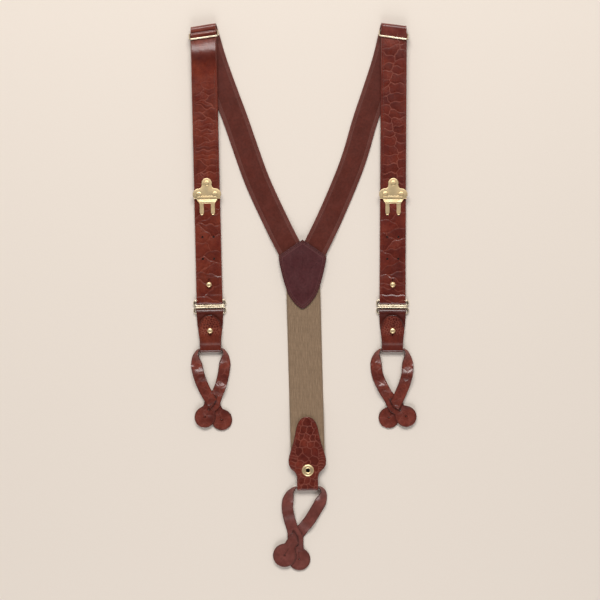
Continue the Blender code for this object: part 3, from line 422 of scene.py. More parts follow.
def tube_faces(rows, columns, closed_rows=False):
    """Quads over a grid whose columns close on themselves."""
    index = np.arange(rows * columns).reshape(rows, columns)
    following = np.roll(index, -1, axis=0)
    if not closed_rows:
        index, following = index[:-1], following[:-1]
    return np.stack([index, following, np.roll(following, -1, axis=1), np.roll(index, -1, axis=1)],
                    axis=2).reshape(-1, 4).tolist()


def capped_faces(rows, columns):
    """Quads over a tube, and one face over each of its ends."""
    last = (rows - 1) * columns
    return tube_faces(rows, columns) + [list(range(columns)), list(range(last, last + columns))]


EDGE_TURN = np.radians([62.0, 38.0, 14.0, -14.0, -38.0, -62.0])


def level_side(run, x, half):
    """A side with no relief."""
    return np.zeros_like(x), np.zeros_like(x)


def quiet(run, x, half):
    """Smooth leather: only the slow waves of a strip that has been worn."""
    return 0.10 * np.sin(run * 0.09 + 0.5) * np.cos(x * 0.12), np.zeros_like(x)


def band_shell(spine, top, under, edge, crown, relief, lower, warp):
    """Points and grid values of a strip of leather with rounded edges."""
    point, across, normal, width, thick = (np.asarray(v, float) for v in spine)
    run = run_of(point)
    half = width / 2
    round_off = np.minimum(edge, 0.84 * half)[:, None]
    flat = half[:, None] - round_off
    top = np.linspace(-1.0, 1.0, top) if np.ndim(top) == 0 else np.asarray(top)
    under = np.linspace(1.0, -1.0, under) if np.ndim(under) == 0 else np.asarray(under)
    middle = (thick / 2)[:, None]
    turn = EDGE_TURN[None, :]
    xs = [flat * top, flat + round_off * np.cos(turn), flat * under,
          -flat - round_off * np.cos(turn[:, ::-1])]
    zs = [middle + crown * (1.0 - top ** 4) * np.ones_like(flat), middle * np.sin(turn),
          -middle * np.ones_like(xs[2]), middle * np.sin(turn[:, ::-1])]
    shades = [np.zeros_like(x) for x in xs]
    for k, shape in ((0, relief), (2, lower)):
        rows = np.repeat(run[:, None], xs[k].shape[1], axis=1)
        height, shades[k] = shape(rows, xs[k], half[:, None])
        zs[k] = zs[k] + height * np.minimum(1.0, half / 2.5)[:, None]
    x = np.concatenate(xs, axis=1)
    z = np.concatenate(zs, axis=1)
    points = (point[:, None, :] + across[:, None, :] * x[..., None]
              + normal[:, None, :] * z[..., None])
    if warp:
        rise, spread = warp(np.repeat(run[:, None], x.shape[1], axis=1), x)
        points = points + across[:, None, :] * spread[..., None]
        points[..., 2] += rise
    return points, run, x, np.concatenate(shades, axis=1), len(top), len(under)


def band(name, spine, finish, slot, body=None, replaces=(), top=44, under=6, edge=EDGE, crown=0.0,
         relief=quiet, lower=level_side, warp=None, back=None, rim=0.0, flesh=0.0, cuts=()):
    """A strip of leather. relief and lower give its two sides' heights and their shades, which are
    painted highlights and painted shade with some tone.
    """
    points, run, x, shades, tops, unders = band_shell(spine, top, under, edge, crown, relief, lower,
                                                      warp)
    stations, count = x.shape
    edges = np.zeros(count)
    edges[tops:tops + 6] = (0.4, 0.9, 1.0, 1.0, 0.9, 0.6)
    edges[tops + 6 + unders:] = (0.6, 0.9, 1.0, 1.0, 0.9, 0.4)
    inside = np.zeros(count)
    inside[tops + 4:tops + 8 + unders] = 1.0
    skin = np.stack([np.repeat(run[:, None], count, axis=1), x,
                     np.repeat(inside[None, :] * 20.0, stations, axis=0)], axis=2) * MM
    below = np.tile((inside > 0).astype(np.int32), stations - 1).tolist() + [0, 0]
    made = mesh_piece(name, points.reshape(-1, 3), capped_faces(stations, count), finish, slot,
                      None, replaces,
                      {"skin": skin.reshape(-1, 3), "tone_and_painted_light": shades.ravel(),
                       "rim": np.tile(edges * rim, stations),
                       "flesh": np.tile(inside * flesh, stations)}, back, below)
    if cuts:
        cut(made, cuts)
    if body:
        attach(made, body)
    return made


def evaluated_mesh(made):
    """A piece's mesh after its modifiers."""
    bpy.context.view_layer.update()
    seen = made.evaluated_get(bpy.context.evaluated_depsgraph_get())
    return bpy.data.meshes.new_from_object(seen)


def cut(made, cutters):
    """Take cutters away from a piece and remove them."""
    for tool in cutters:
        step = made.modifiers.new("cut", "BOOLEAN")
        step.operation, step.solver, step.object = "DIFFERENCE", "EXACT", tool
    mesh = evaluated_mesh(made)
    if len(mesh.vertices) < 0.8 * len(made.data.vertices):
        for step in made.modifiers:
            step.use_self = True
        mesh = evaluated_mesh(made)
    if len(mesh.vertices) < 0.8 * len(made.data.vertices):
        raise RuntimeError(f"the cut in {made.name} failed")
    made.modifiers.clear()
    made.data = mesh
    mesh.shade_smooth()
    mesh.set_sharp_from_angle(angle=math.radians(50))
    for tool in cutters:
        bpy.data.objects.remove(tool, do_unlink=True)


def cutter(name, build):
    """An object to cut with; build(bm) fills its mesh."""
    bm = bmesh.new()
    build(bm)
    mesh = bpy.data.meshes.new(name)
    bm.to_mesh(mesh)
    bm.free()
    return linked(name, mesh)


def pegs(name, places, radius, low, high, foot=None):
    """Upright round pegs at places given as (frame, x, y); they narrow to a foot, if it's given."""
    def build(bm):
        for placed, x, y in places:
            at = Matrix.Scale(MM, 4) @ placed @ Matrix.Translation((x, y, (low + high) / 2))
            bmesh.ops.create_cone(bm, cap_ends=True, segments=32, radius1=foot or radius,
                                  radius2=radius, depth=high - low, matrix=at)
    return cutter(name, build)


def slit(name, placed, start, stop, width, low, high):
    """A thin box from start to stop in a frame's plan."""
    def build(bm):
        (x0, y0), (x1, y1) = start, stop
        at = (placed @ Matrix.Translation(((x0 + x1) / 2, (y0 + y1) / 2, (low + high) / 2))
              @ Matrix.Rotation(math.atan2(y1 - y0, x1 - x0), 4, "Z")
              @ Matrix.Diagonal((math.hypot(x1 - x0, y1 - y0), width, high - low, 1.0)))
        bmesh.ops.create_cube(bm, size=1.0, matrix=Matrix.Scale(MM, 4) @ at)
    return cutter(name, build)


def stitches(name, points, normals, body, slot, pitch=2.9, long=2.0, wide=0.5, high=0.22):
    """Separate stitches along a line on a surface."""
    points = np.asarray(points, float)
    normals = np.asarray(normals, float)
    run = run_of(points)
    count = max(1, int(run[-1] / pitch))
    middle = (np.arange(count) + 0.5) * run[-1] / count

    def at(values, where):
        return np.stack([np.interp(where, run, values[:, k]) for k in range(3)], axis=1)

    ahead = unit(at(points, middle + 0.3) - at(points, middle - 0.3))
    up = unit(at(normals, middle))
    side = unit(np.cross(ahead, up))
    centre = at(points, middle)
    rows = []
    swell = ((-1.0, 0.3, 0.2), (-0.72, 0.85, 0.78), (0.0, 1.0, 1.0), (0.72, 0.85, 0.78),
             (1.0, 0.3, 0.2))
    for along, broad, rise in swell:
        for turn in np.radians((180.0, 135.0, 90.0, 45.0, 0.0, -90.0)):
            rows.append(centre + ahead * along * long / 2
                        + side * math.cos(turn) * broad * wide / 2
                        + up * (max(0.0, math.sin(turn)) * rise * high - 0.12 * (turn < -1.0)))
    verts = np.stack(rows, axis=1)
    faces = [[v + len(rows) * k for v in face] for k in range(count)
             for face in capped_faces(len(swell), len(rows) // len(swell))]
    mesh_piece(name, verts.reshape(-1, 3), faces, THREAD, slot, body)


def edge_stitches(name, spine, inset, top, body, **look):
    """Stitches along both edges of a croc strip, inset from them and raised to its surface."""
    point, across, normal, width, _ = spine
    for label, sign in (("inner", 1), ("outer", -1)):
        line = point + across * (sign * (width / 2 - inset))[:, None] + normal * top
        stitches(f"{name}_{label}", line, normal, body, "croc_leather", **look)


def wire_shell(points, radius, closed=True, sides=20):
    """Points and faces of a tube of wire."""
    points = np.asarray(points, float)
    if closed:
        ahead = unit(np.roll(points, -1, axis=0) - np.roll(points, 1, axis=0))
    else:
        ahead = unit(np.gradient(points, axis=0))
    plane = np.linalg.svd(points - points.mean(axis=0), full_matrices=False)[2][2]
    out = unit(np.cross(ahead, plane))
    up = np.cross(out, ahead)
    turn = np.linspace(0, 2 * np.pi, sides, endpoint=False)
    ring = (points[:, None, :] + radius * (out[:, None, :] * np.cos(turn)[None, :, None]
                                           + up[:, None, :] * np.sin(turn)[None, :, None]))
    faces = tube_faces(len(points), sides, True) if closed else capped_faces(len(points), sides)
    return ring.reshape(-1, 3), faces


def ring_line(width, height, corner, turn=14):
    """A rounded rectangle about (0, 0), with straight sides divided too."""
    points = []
    for sx, sy, start in ((1, 1, 0), (-1, 1, 90), (-1, -1, 180), (1, -1, 270)):
        for t in np.radians(np.linspace(start, start + 90, turn)):
            points.append((sx * (width / 2 - corner) + corner * math.cos(t),
                           sy * (height / 2 - corner) + corner * math.sin(t), 0.0))
    return np.array(points)


def joined(shells):
    """Several shells as one list of points and faces."""
    points, faces, base = [], [], 0
    for shell_points, shell_faces in shells:
        points.append(shell_points)
        faces += [[v + base for v in face] for face in shell_faces]
        base += len(shell_points)
    return np.concatenate(points), faces


def lathe(name, profile, placed, body, replaces=(), closed=False, finish=BRASS):
    """A turned piece of metal from (radius, height) points, smoothed between them."""
    steps = 48
    line = np.array(profile, float)
    line = spaced(np.concatenate([line, line[:1]]) if closed else line, 0.12)
    if closed:
        line = line[:-1]
    line[:, 0] = np.maximum(line[:, 0], 0.0)
    turn = np.linspace(0, 2 * np.pi, steps, endpoint=False)
    points = np.stack([line[:, None, 0] * np.cos(turn), line[:, None, 0] * np.sin(turn),
                       np.repeat(line[:, 1:2], steps, axis=1)], axis=2)
    mesh_piece(name, moved(placed, points.reshape(-1, 3)), tube_faces(len(line), steps, closed),
               finish, "brass", body, replaces)


def plaque_shell(outline, centre, low, thick, bevel, relief=None, rings=30):
    """A flat plate from a star-shaped outline about a centre, with a rounded upper edge."""
    outline = np.asarray(outline, float)
    centre = np.asarray(centre, float)
    share = 1.0 - np.linspace(0, 1, rings) ** 1.6 * 0.999
    flat = centre + (outline[None] - centre) * share[:, None, None]
    edge = np.concatenate([outline, outline[:1]])
    away = np.full(flat.shape[:2], 1e9)
    for a, b in zip(edge, edge[1:]):
        line = b - a
        t = np.clip(((flat - a) @ line) / max(1e-12, line @ line), 0, 1)
        away = np.minimum(away, np.linalg.norm(flat - a - t[..., None] * line, axis=2))
    fall = np.clip(1.0 - away / bevel, 0.0, 1.0)
    top = low + thick - bevel * (1.0 - np.sqrt(np.maximum(0.0, 1.0 - fall ** 2))) * 0.9
    shade = np.zeros_like(away)
    if relief:
        height, shade = relief(flat[..., 0], flat[..., 1], away)
        top = top + height
    upper = np.concatenate([flat, top[..., None]], axis=2)
    count = len(outline)
    lower = np.concatenate([outline, np.full((count, 1), low + 0.15 * thick)], axis=1)
    inset = centre + (outline - centre) * 0.985
    bottom = np.concatenate([inset, np.full((count, 1), low)], axis=1)
    points = np.concatenate([bottom, lower, upper.reshape(-1, 3)])
    shades, away = (np.concatenate([np.zeros(2 * count), v.ravel()]) for v in (shade, away))
    return points, capped_faces(rings + 2, count), shades, away


# ---------------------------------------------------------------- croc scales

def scale_rows(seed, length, width, pitch, columns, border=3.2, slope=0.0):
    """Middles of scales: rows of them across the strip, and with a border small ones along it."""
    draw = np.random.default_rng(seed)
    middles = []
    at = -6.0
    row = 0
    while at < length + pitch[1]:
        step = draw.uniform(*pitch)
        many = columns[row % len(columns)]
        row += 1
        room = width - 2 * border
        slant = slope + draw.uniform(-0.15, 0.15)
        shift = draw.uniform(-0.1, 0.1)
        for k in range(many):
            x = -room / 2 + (k + 0.5 + shift + draw.uniform(-0.12, 0.12)) * room / many
            middles.append((at + step / 2 + slant * x + draw.uniform(-0.5, 0.5), x))
        at += step
    for side in (-1, 1) if border else ():
        at = -3.0
        while at < length:
            step = draw.uniform(2.6, 4.4)
            middles.append((at + step / 2, side * (width / 2 - border * 0.42)))
            at += step
    return np.array(middles)


def scale_field(run, x, middles, wobble, drift=0.0):
    """Distance from the border between scales, and a tone for each scale."""
    x = x - drift * np.sin(run * 0.045 + 0.8)
    bent = run + wobble * (0.8 * np.sin(x * 0.55 + run * 0.11) + 0.5 * np.sin(run * 0.53 + 1.7))
    side = x + wobble * (0.7 * np.sin(run * 0.37 + 0.6) + 0.4 * np.sin(run * 1.13))
    flat = np.stack([bent.ravel(), side.ravel()], axis=1)
    border = np.empty(len(flat))
    nearest = np.empty(len(flat), int)
    for k in range(0, len(flat), 20000):
        some = flat[k:k + 20000]
        near_by = middles[(middles[:, 0] > some[:, 0].min() - 25)
                          & (middles[:, 0] < some[:, 0].max() + 25)]
        far = ((some[:, None, :] - near_by[None]) ** 2).sum(axis=2)
        two = np.argpartition(far, 1, axis=1)[:, :2]
        near = np.take_along_axis(far, two, axis=1)
        order = np.argsort(near, axis=1)
        two = np.take_along_axis(two, order, axis=1)
        near = np.take_along_axis(near, order, axis=1)
        gap = np.linalg.norm(near_by[two[:, 0]] - near_by[two[:, 1]], axis=1)
        border[k:k + 20000] = (near[:, 1] - near[:, 0]) / (2 * gap)
        nearest[k:k + 20000] = near_by[two[:, 0], 0] * 97.0
    tone = np.sin(nearest * 12.9898) * 0.5 + 0.5
    return border.reshape(run.shape), tone.reshape(run.shape)


def croc(seed, length, width, pitch=(6.0, 10.0), columns=(2, 3), deep=0.2, border=3.2, calm=None,
         wrinkle=0.05, lines=0.6, slope=0.0, drift=0.0):
    """A relief of croc scales; calm(run) is 1 where the leather is smooth. Its shade paints
    highlights along the scale borders and wrinkles, with lines giving their strength, and painted
    shade beside the borders, with a random tone for each scale.
    """
    big = scale_rows(seed, length, width, pitch, columns, border, slope)
    small = scale_rows(seed + 91, length, width, (2.0, 3.6), (5, 6, 7), 1.5)

    def relief(run, x, half):
        away, tone = scale_field(run, x, big, 1.0, drift)
        fine, _ = scale_field(run, x, small, 1.6)
        strong = 1.0 - 0.85 * (calm(run) if calm else 0.0)
        patch = smooth(np.sin(run * 0.13 + seed) + np.sin(x * 0.31 + run * 0.07 + seed * 2.0),
                       -0.6, 1.1)
        creased = patch * hump(fine, 0.0, 0.3)
        height = deep * strong * (1.0 - np.exp(-away / 0.8) + 0.35 * (tone - 0.5))
        height = height - wrinkle * strong * creased
        roll = 0.16 * np.sin(run * 0.19 + seed) * np.cos(x * 0.17 + seed * 0.7)
        centre = 0.35 + 0.65 * smooth(half - np.abs(x), 1.5, 4.5)
        # Painted highlights along the scale borders and wrinkles; painted shade just inside the
        # borders, plus a random tone for each scale.
        light = lines * hump(away, 0.0, 0.36) + 0.3 * creased
        dark = 0.18 * hump(away, 0.9, 0.45) + 0.32 * (1.0 - tone) * smooth(away, 0.3, 1.2)
        return height + roll, np.clip(strong * centre * (light - dark), -0.75, 1.0)
    return relief


def shown(relief, start, stop):
    """A relief that flattens away before start and after stop along its strip."""
    def shape(run, x, half):
        height, shade = relief(run, x, half)
        share = smooth(run, start - 2.0, start + 1.0) * (1.0 - smooth(run, stop - 1.0, stop + 2.0))
        return height * share, shade * share
    return shape


def grooved(relief, inset, depth=0.14, lift=0.0, reach=0.45):
    """A relief with a stitch groove a given distance in from its edges, and a raised border."""
    def shape(run, x, half):
        height, shade = relief(run, x, half)
        away = half - np.abs(x)
        raised = lift * (1.0 - smooth(away, inset, inset + 1.2))
        return height - depth * hump(away, inset, reach) + raised, shade
    return shape


def edged(relief, dark, reach=0.8):
    """A relief with its cut edges darkened: partly the leather's dark edge colour, partly painted
    shade where pieces lie on one another.
    """
    def shape(run, x, half):
        height, shade = relief(run, x, half)
        return height, shade - dark * hump(half - np.abs(x), 0.0, reach)
    return shape


def recess(x, half):
    """1 between a strap's two turned edges, 0 on them."""
    return smooth(half - TURNED - np.abs(x), -0.06, 0.06)


def under_shares(half):
    """Shares across an underside with extra columns where its turned edges end."""
    inner = (half - TURNED) / (half - EDGE)
    return np.array([1.0, inner + 0.008, inner - 0.008, 0.0, -inner + 0.008, -inner - 0.008, -1.0])


def stepped(half, count):
    """Many shares across a side, with none between where its turned edges end."""
    inner = (half - TURNED) / (half - EDGE)
    gap = 0.08 / half
    side = np.linspace(inner + gap, 1.0, count // 4)
    middle = np.linspace(-inner + gap, inner - gap, count // 2)
    return np.concatenate([-side[::-1], middle, side])


# ---------------------------------------------------------------- spines

def even(thick, points):
    """Path points of one thickness."""
    return [(point, thick) for point in points]


def folded_spine(placed, rows, width, skew=None, coarse=None):
    """A spine that folds in a frame's YZ plane, its outer side outwards.

    Each row is a point of the path and the thickness there. width(along, share) gives the width,
    and stations are left out where coarse(along) is true.
    """
    path, thick = zip(*rows)
    path = np.array(path, float)
    length = run_of(path)
    line = spaced(path, 0.5)
    if coarse:
        keep = np.array([k % 3 == 0 or not coarse(p[0]) for k, p in enumerate(line)])
        line = line[keep]
    run = run_of(line)
    scale = run * length[-1] / run[-1]
    thick = np.interp(scale, length, thick)
    ahead = unit(np.gradient(line, axis=0))
    lean = skew(line[:, 0]) if skew else np.zeros(len(line))
    zero = np.zeros(len(line))
    local = np.stack([zero, line[:, 0], line[:, 1]], axis=1)
    across = np.stack([zero + 1.0, lean, zero], axis=1)
    normal = np.stack([zero, ahead[:, 1], -ahead[:, 0]], axis=1)
    return [moved(placed, local), turned(placed, across), turned(placed, normal),
            width(line[:, 0], scale / length[-1]), thick]


def blunt(spine, reach=0.7):
    """Round the two ends of a spine off by thinning its last stations."""
    point, across, normal, width, thick = spine
    run = run_of(point)
    for away in (run, run[-1] - run):
        t = np.clip(away / reach, 0.0, 1.0)
        shape = np.sqrt(np.maximum(0.0, 1.0 - (1.0 - t) ** 2))
        thick = thick * np.maximum(0.25, shape)
        width = width - 0.6 * reach * (1.0 - shape)
    return [point, across, normal, np.maximum(width, 0.8), thick]


def plan(point):
    """A point of the drawing in the frame."""
    return np.array((*point, 0.0)) + np.array(DRAWN)


UP = np.array((0.0, 0.0, 1.0))


# ---------------------------------------------------------------- shoulder straps

def fold_of(side):
    """Where a shoulder strap folds: axis, slant, radius and its two ends."""
    placed = FRONT[side]
    down = -np.array(placed.to_3x3().col[1])
    down[2] = 0.0
    down = unit(down)
    start = plan(ARMS[side][0])
    up = unit(plan(FOLD_FROM[side]) - start)
    start[2] = up[2] = 0.0
    axis = unit(up + down)
    axis = axis * np.sign(axis[0])
    ahead = np.array((-axis[1], axis[0], 0.0))
    slant = (up @ axis) / (up @ ahead)
    top = (placed @ Vector((0.0, KEEPER_AT, FRONT_LOW + STRAP / 2))).z
    radius = (top - STRAP / 2) / 2
    advance = axis * math.pi * radius * slant
    origin = np.array(LEVEL[side].translation)
    offset = origin - start - advance
    along = (offset[0] * down[1] - offset[1] * down[0]) / (up[0] * down[1] - up[1] * down[0])
    first = start + up * along
    first[2] = STRAP / 2
    return {"axis": axis, "ahead": ahead, "slant": slant, "radius": radius, "up": up,
            "first": first, "last": first + advance + UP * 2 * radius}


def slanted(across, square, width):
    """Width measured along a slanting across, of a strip as wide as width square to its run."""
    return width / np.abs((across * square).sum(axis=1))


def worn_lift(side, past):
    """How far a shoulder strap swells up in front of its keeper."""
    return SWELL[side] * np.where(past < SWELL_AT, hump(past, SWELL_AT, 11.0),
                                  hump(past, SWELL_AT, 15.0))


FRONT_SCALES = {
    "left": {"seed": 11, "pitch": (3.0, 6.5), "columns": (1,), "lines": 0.4, "slope": 0.08},
    "right": {"seed": 24, "pitch": (7.0, 11.0), "columns": (2,), "lines": 0.6, "slope": -0.3,
              "drift": 6.0}}
CALM_UNTIL = {"left": (50.0, 82.0), "right": (3.0, 9.0)}    # past the fold, where scales come in


def front_strap(side):
    """The croc side of a shoulder strap: its fold over the shoulder and its run down the front."""
    fold = fold_of(side)
    placed = FRONT[side]
    bends = 26
    turn = np.linspace(0.0, math.pi, bends)[:, None]
    bent = (fold["first"] + fold["axis"] * fold["radius"] * turn * fold["slant"]
            + fold["ahead"] * fold["radius"] * np.sin(turn)
            + UP * fold["radius"] * (1.0 - np.cos(turn)))
    out = fold["ahead"] * np.sin(turn) - UP * np.cos(turn)
    top = (placed.inverted() @ Vector(fold["last"])).y
    along = np.arange(top - 0.5, FRONT_END, -0.5)
    run = moved(placed, np.stack([0 * along, along, 0 * along + FRONT_LOW + STRAP / 2], axis=1))
    count = len(along)
    square = turned(placed, [(1.0, 0.0, 0.0)])
    share = smooth(along, top - 24.0, top)[:, None]
    across = np.concatenate([np.repeat(fold["axis"][None], bends, axis=0),
                             unit(square + (fold["axis"] - square) * share)])
    width = np.concatenate([np.full(bends, SHOULDER_WIDTH * math.hypot(1.0, fold["slant"])),
                            slanted(across[bends:], square, SHOULDER_WIDTH)])
    normal = np.concatenate([out, np.repeat(turned(placed, [(0.0, 0.0, 1.0)]), count, axis=0)])
    spine = [np.concatenate([bent, run]), across, normal, width, np.full(bends + count, STRAP)]
    folded = run_of(spine[0])[bends - 1]
    grain = croc(length=220.0, width=SHOULDER_WIDTH, deep=0.16, border=0.0,
                 calm=lambda distance: 1.0 - smooth(distance - folded, *CALM_UNTIL[side]),
                 **FRONT_SCALES[side])

    def worn_with_painted_light(distance, x, half):
        """Flattened under the keeper's bar, and swelling again in front of it; on the left strap,
        painted highlights and painted shade lie across the fold top, the keeper and the swell.
        """
        height, shade = grain(distance, x, half)
        past = distance - folded
        press = 1.0 - 0.9 * hump(past, 6.5, 6.0)
        height = height * press
        if side == "left":
            height = height + 0.25 * hump(past, 6.0, 1.4) - 0.5 * hump(past, 3.8, 1.0)
            # Painted light on the left strap: a painted highlight above the keeper's bar and on the
            # fold's top, and painted shade in the dark line above the bar, the crease below it and
            # the band past the swell.
            shade = (shade + 0.35 * hump(past, 5.6, 1.2) - 0.6 * hump(past, 3.6, 0.9)
                     + 0.12 * hump(past, -1.0, 4.0) - 0.5 * hump(past + 0.15 * x, 10.0, 1.6)
                     - 0.4 * hump(past, 33.0, 9.0))
        sunk = 0.42 * smooth(half - np.abs(x), -0.2, 1.2)
        return height + worn_lift(side, past) - sunk, shade

    def lower(distance, x, half):
        sunk = 0.9 * recess(x, half)
        lift = worn_lift(side, distance - folded)
        return sunk * smooth(distance, folded + 1.0, folded + 3.0) + lift, np.zeros_like(x)

    made = band(f"{side}_front_strap", blunt(spine, 0.6), SCALED[side], "croc_leather", None,
                (f"{side}_shoulder_fold", f"{side}_front_run"), top=62,
                under=under_shares(SHOULDER_WIDTH / 2), relief=grooved(worn_with_painted_light, 2.4, 0.12, 0.05),
                lower=lower, crown=0.12)
    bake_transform(made)
    edge_stitches(f"{side}_front_stitches", [v[bends + 1:-4] for v in spine], 2.4,
                  STRAP / 2 + 0.06, f"{side}_front")
    return fold


def arm(side, fold):
    """The back run of a shoulder strap, lining side up, with its lining laid in."""
    guide = [fold["first"] * (1, 1, 0) - fold["up"] * 0.3] + [plan(p) for p in ARMS[side]]
    inner, outer = (plan(p) for p in ARM_ENDS[side])
    line = spaced(guide[:-1] + [(inner + outer) / 2], 0.8)
    line[:, 2] = 0.0
    run = run_of(line)
    ahead = unit(np.gradient(line, axis=0))
    square = np.stack([ahead[:, 1], -ahead[:, 0], 0 * run], axis=1)
    skew = unit(outer - inner)
    skew = skew * np.sign(skew @ square[-1])
    first = (1.0 - smooth(run, 0.0, 22.0))[:, None]
    last = smooth(run, run[-1] - 20.0, run[-1])[:, None]
    across = unit(square * (1 - first) - fold["axis"] * first)
    across = unit(across * (1 - last) + skew * last)
    width = slanted(across, square, SHOULDER_WIDTH)
    base = 1.5 * (1.0 - smooth(line[:, 1], 64.0, 92.0))
    line[:, 2] = base + STRAP / 2
    up = np.repeat(UP[None], len(run), axis=0)
    spine = [line, across, up, width, np.full(len(run), STRAP)]
    name = f"{side}_arm"
    grain = croc({"left": 5, "right": 8}[side], 300.0, SHOULDER_WIDTH, (6.0, 10.0), (2, 2, 3), 0.18)

    def lower(distance, x, half):
        height, shade = grain(distance, x, half)
        return 0.1 - height, shade

    def upper(distance, x, half):
        height, _ = quiet(distance, x, half)
        away = half - np.abs(x)
        groove = 0.12 * hump(away, 3.4, 0.4)
        return height - groove - 0.75 * recess(x, half), 0.35 * hump(away, 4.4, 0.4)

    def lining_skin(distance, x, half):
        height, shade = quiet(distance, x, half)
        return height, shade + 0.25 * hump(half - np.abs(x), 0.0, 0.5)

    band(f"{name}_visible", blunt(spine), BORDER, "croc_leather", "root", (name,),
         top=stepped(SHOULDER_WIDTH / 2, 40), under=24, relief=upper, lower=lower, back=CROC)
    inside = [line + UP * (1.47 - STRAP / 2), across, up, width - 2 * TURNED - 0.16,
              np.full(len(run), 0.56)]
    band(f"{name}_lining_visible", blunt(inside, 0.4), SMOOTH, "lining_leather", "root",
         (f"{name}_lining",), top=30, under=4, edge=0.25, relief=lining_skin, crown=0.05)
    edge_stitches(f"{name}_stitches", [v[20:-24] for v in spine], 3.4, STRAP / 2 - 0.06, "root",
                  wide=0.42)


# ---------------------------------------------------------------- hook plates

def lobe(x, y, radius, start, stop, step):
    """Points round a lobe of the hook plate, clockwise, between two angles in degrees."""
    return [(x + radius * math.cos(math.radians(a)), y + radius * math.sin(math.radians(a)))
            for a in range(start, stop, -step)]


def plate_outline():
    """Outline of the hook plate: three lobes and a straight lower edge."""
    half = lobe(*RIVETS["top"], 5.6, 90, -19, 9)
    half += [(5.75, 121.6), (6.2, 120.5), (7.0, 119.6), (7.8, 119.15), (8.6, 118.95)]
    half += lobe(9.3, RIVETS["outer"][1], 6.2, 84, -59, 8)
    points = half + [(-x, y) for x, y in reversed(half[1:])]
    return spaced(points + [points[0]], 0.35)[:-1]


def strip_shell(placed, path, widths, thick):
    """A narrow bent strip of metal with rounded edges, as a shell."""
    path = np.array(path, float)
    length = run_of(path)
    line = spaced(path, 0.3)
    run = run_of(line)
    width = np.interp(run * length[-1] / run[-1], length, widths)
    ahead = unit(np.gradient(line, axis=0))
    zero = np.zeros(len(line))
    spine = [np.stack([zero, line[:, 0], line[:, 1]], axis=1), np.stack([zero + 1, zero, zero], 1),
             np.stack([zero, ahead[:, 1], -ahead[:, 0]], axis=1), width,
             np.full(len(line), thick)]
    points, _, x, *_ = band_shell(blunt(spine, 0.3), 12, 6, 0.35, 0.0, level_side, level_side, None)
    return moved(placed, points.reshape(-1, 3)), capped_faces(*x.shape)


def hook_plate(side):
    """The stamped plate, its lip bent down off the strap's end, its prongs and its rivets."""
    placed = FRONT[side]

    def dished(x, y, away):
        return 0.22 * (1.0 - np.exp(-away / 2.2)) - 0.12, np.zeros_like(x)

    points, faces, *_ = plaque_shell(plate_outline(), (0.0, 115.5), PLATE_LOW, PLATE, 0.4, dished)
    middle = PLATE_LOW + PLATE / 2
    rest = STRAP + CLEAR + PLATE / 2
    lip = strip_shell(placed, [(111.0, middle + 0.05), (108.2, middle + 0.1), (106.6, middle - 0.4),
                               (105.2, middle - 1.7), (103.8, rest + 0.3), (102.6, rest)],
                      (22.6, 22.6, 22.2, 20.6, 18.2, 17.4), PLATE)
    shells = [(moved(placed, points), faces), lip]
    for x in (-HOLE_SPREAD / 2, HOLE_SPREAD / 2):
        at = placed @ Matrix.Translation((x, 0.0, 0.0))
        shells.append(strip_shell(at, [(104.0, rest + 0.25), (102.0, rest), (92.6, rest),
                                       (91.2, rest - 0.02), (90.5, rest - 0.45),
                                       (90.05, rest - 1.1), (89.95, 0.75)],
                                  (4.6, 4.6, 4.6, 3.4, 2.4, 2.0, 1.6), PLATE))
    mesh_piece(f"{side}_hook_plate_visible", *joined(shells), BRASS, "brass", f"{side}_front",
               (f"{side}_hook_plate",))
    low = STRAP + CLEAR + PLATE
    for label, (x, y) in RIVETS.items():
        lathe(f"{side}_rivet_{label}", [(0.0, low + 0.8), (1.4, low + 0.78), (2.3, low + 0.66),
                                        (2.85, low + 0.42), (3.0, low + 0.2), (2.4, low + 0.06),
                                        (1.0, low - 0.1), (1.0, 0.05), (0.0, 0.05)],
              placed @ Matrix.Translation((x, y, FRONT_LOW)), f"{side}_front",
              (f"{side}_plate_rivet_{label}",))


# ---------------------------------------------------------------- hole straps

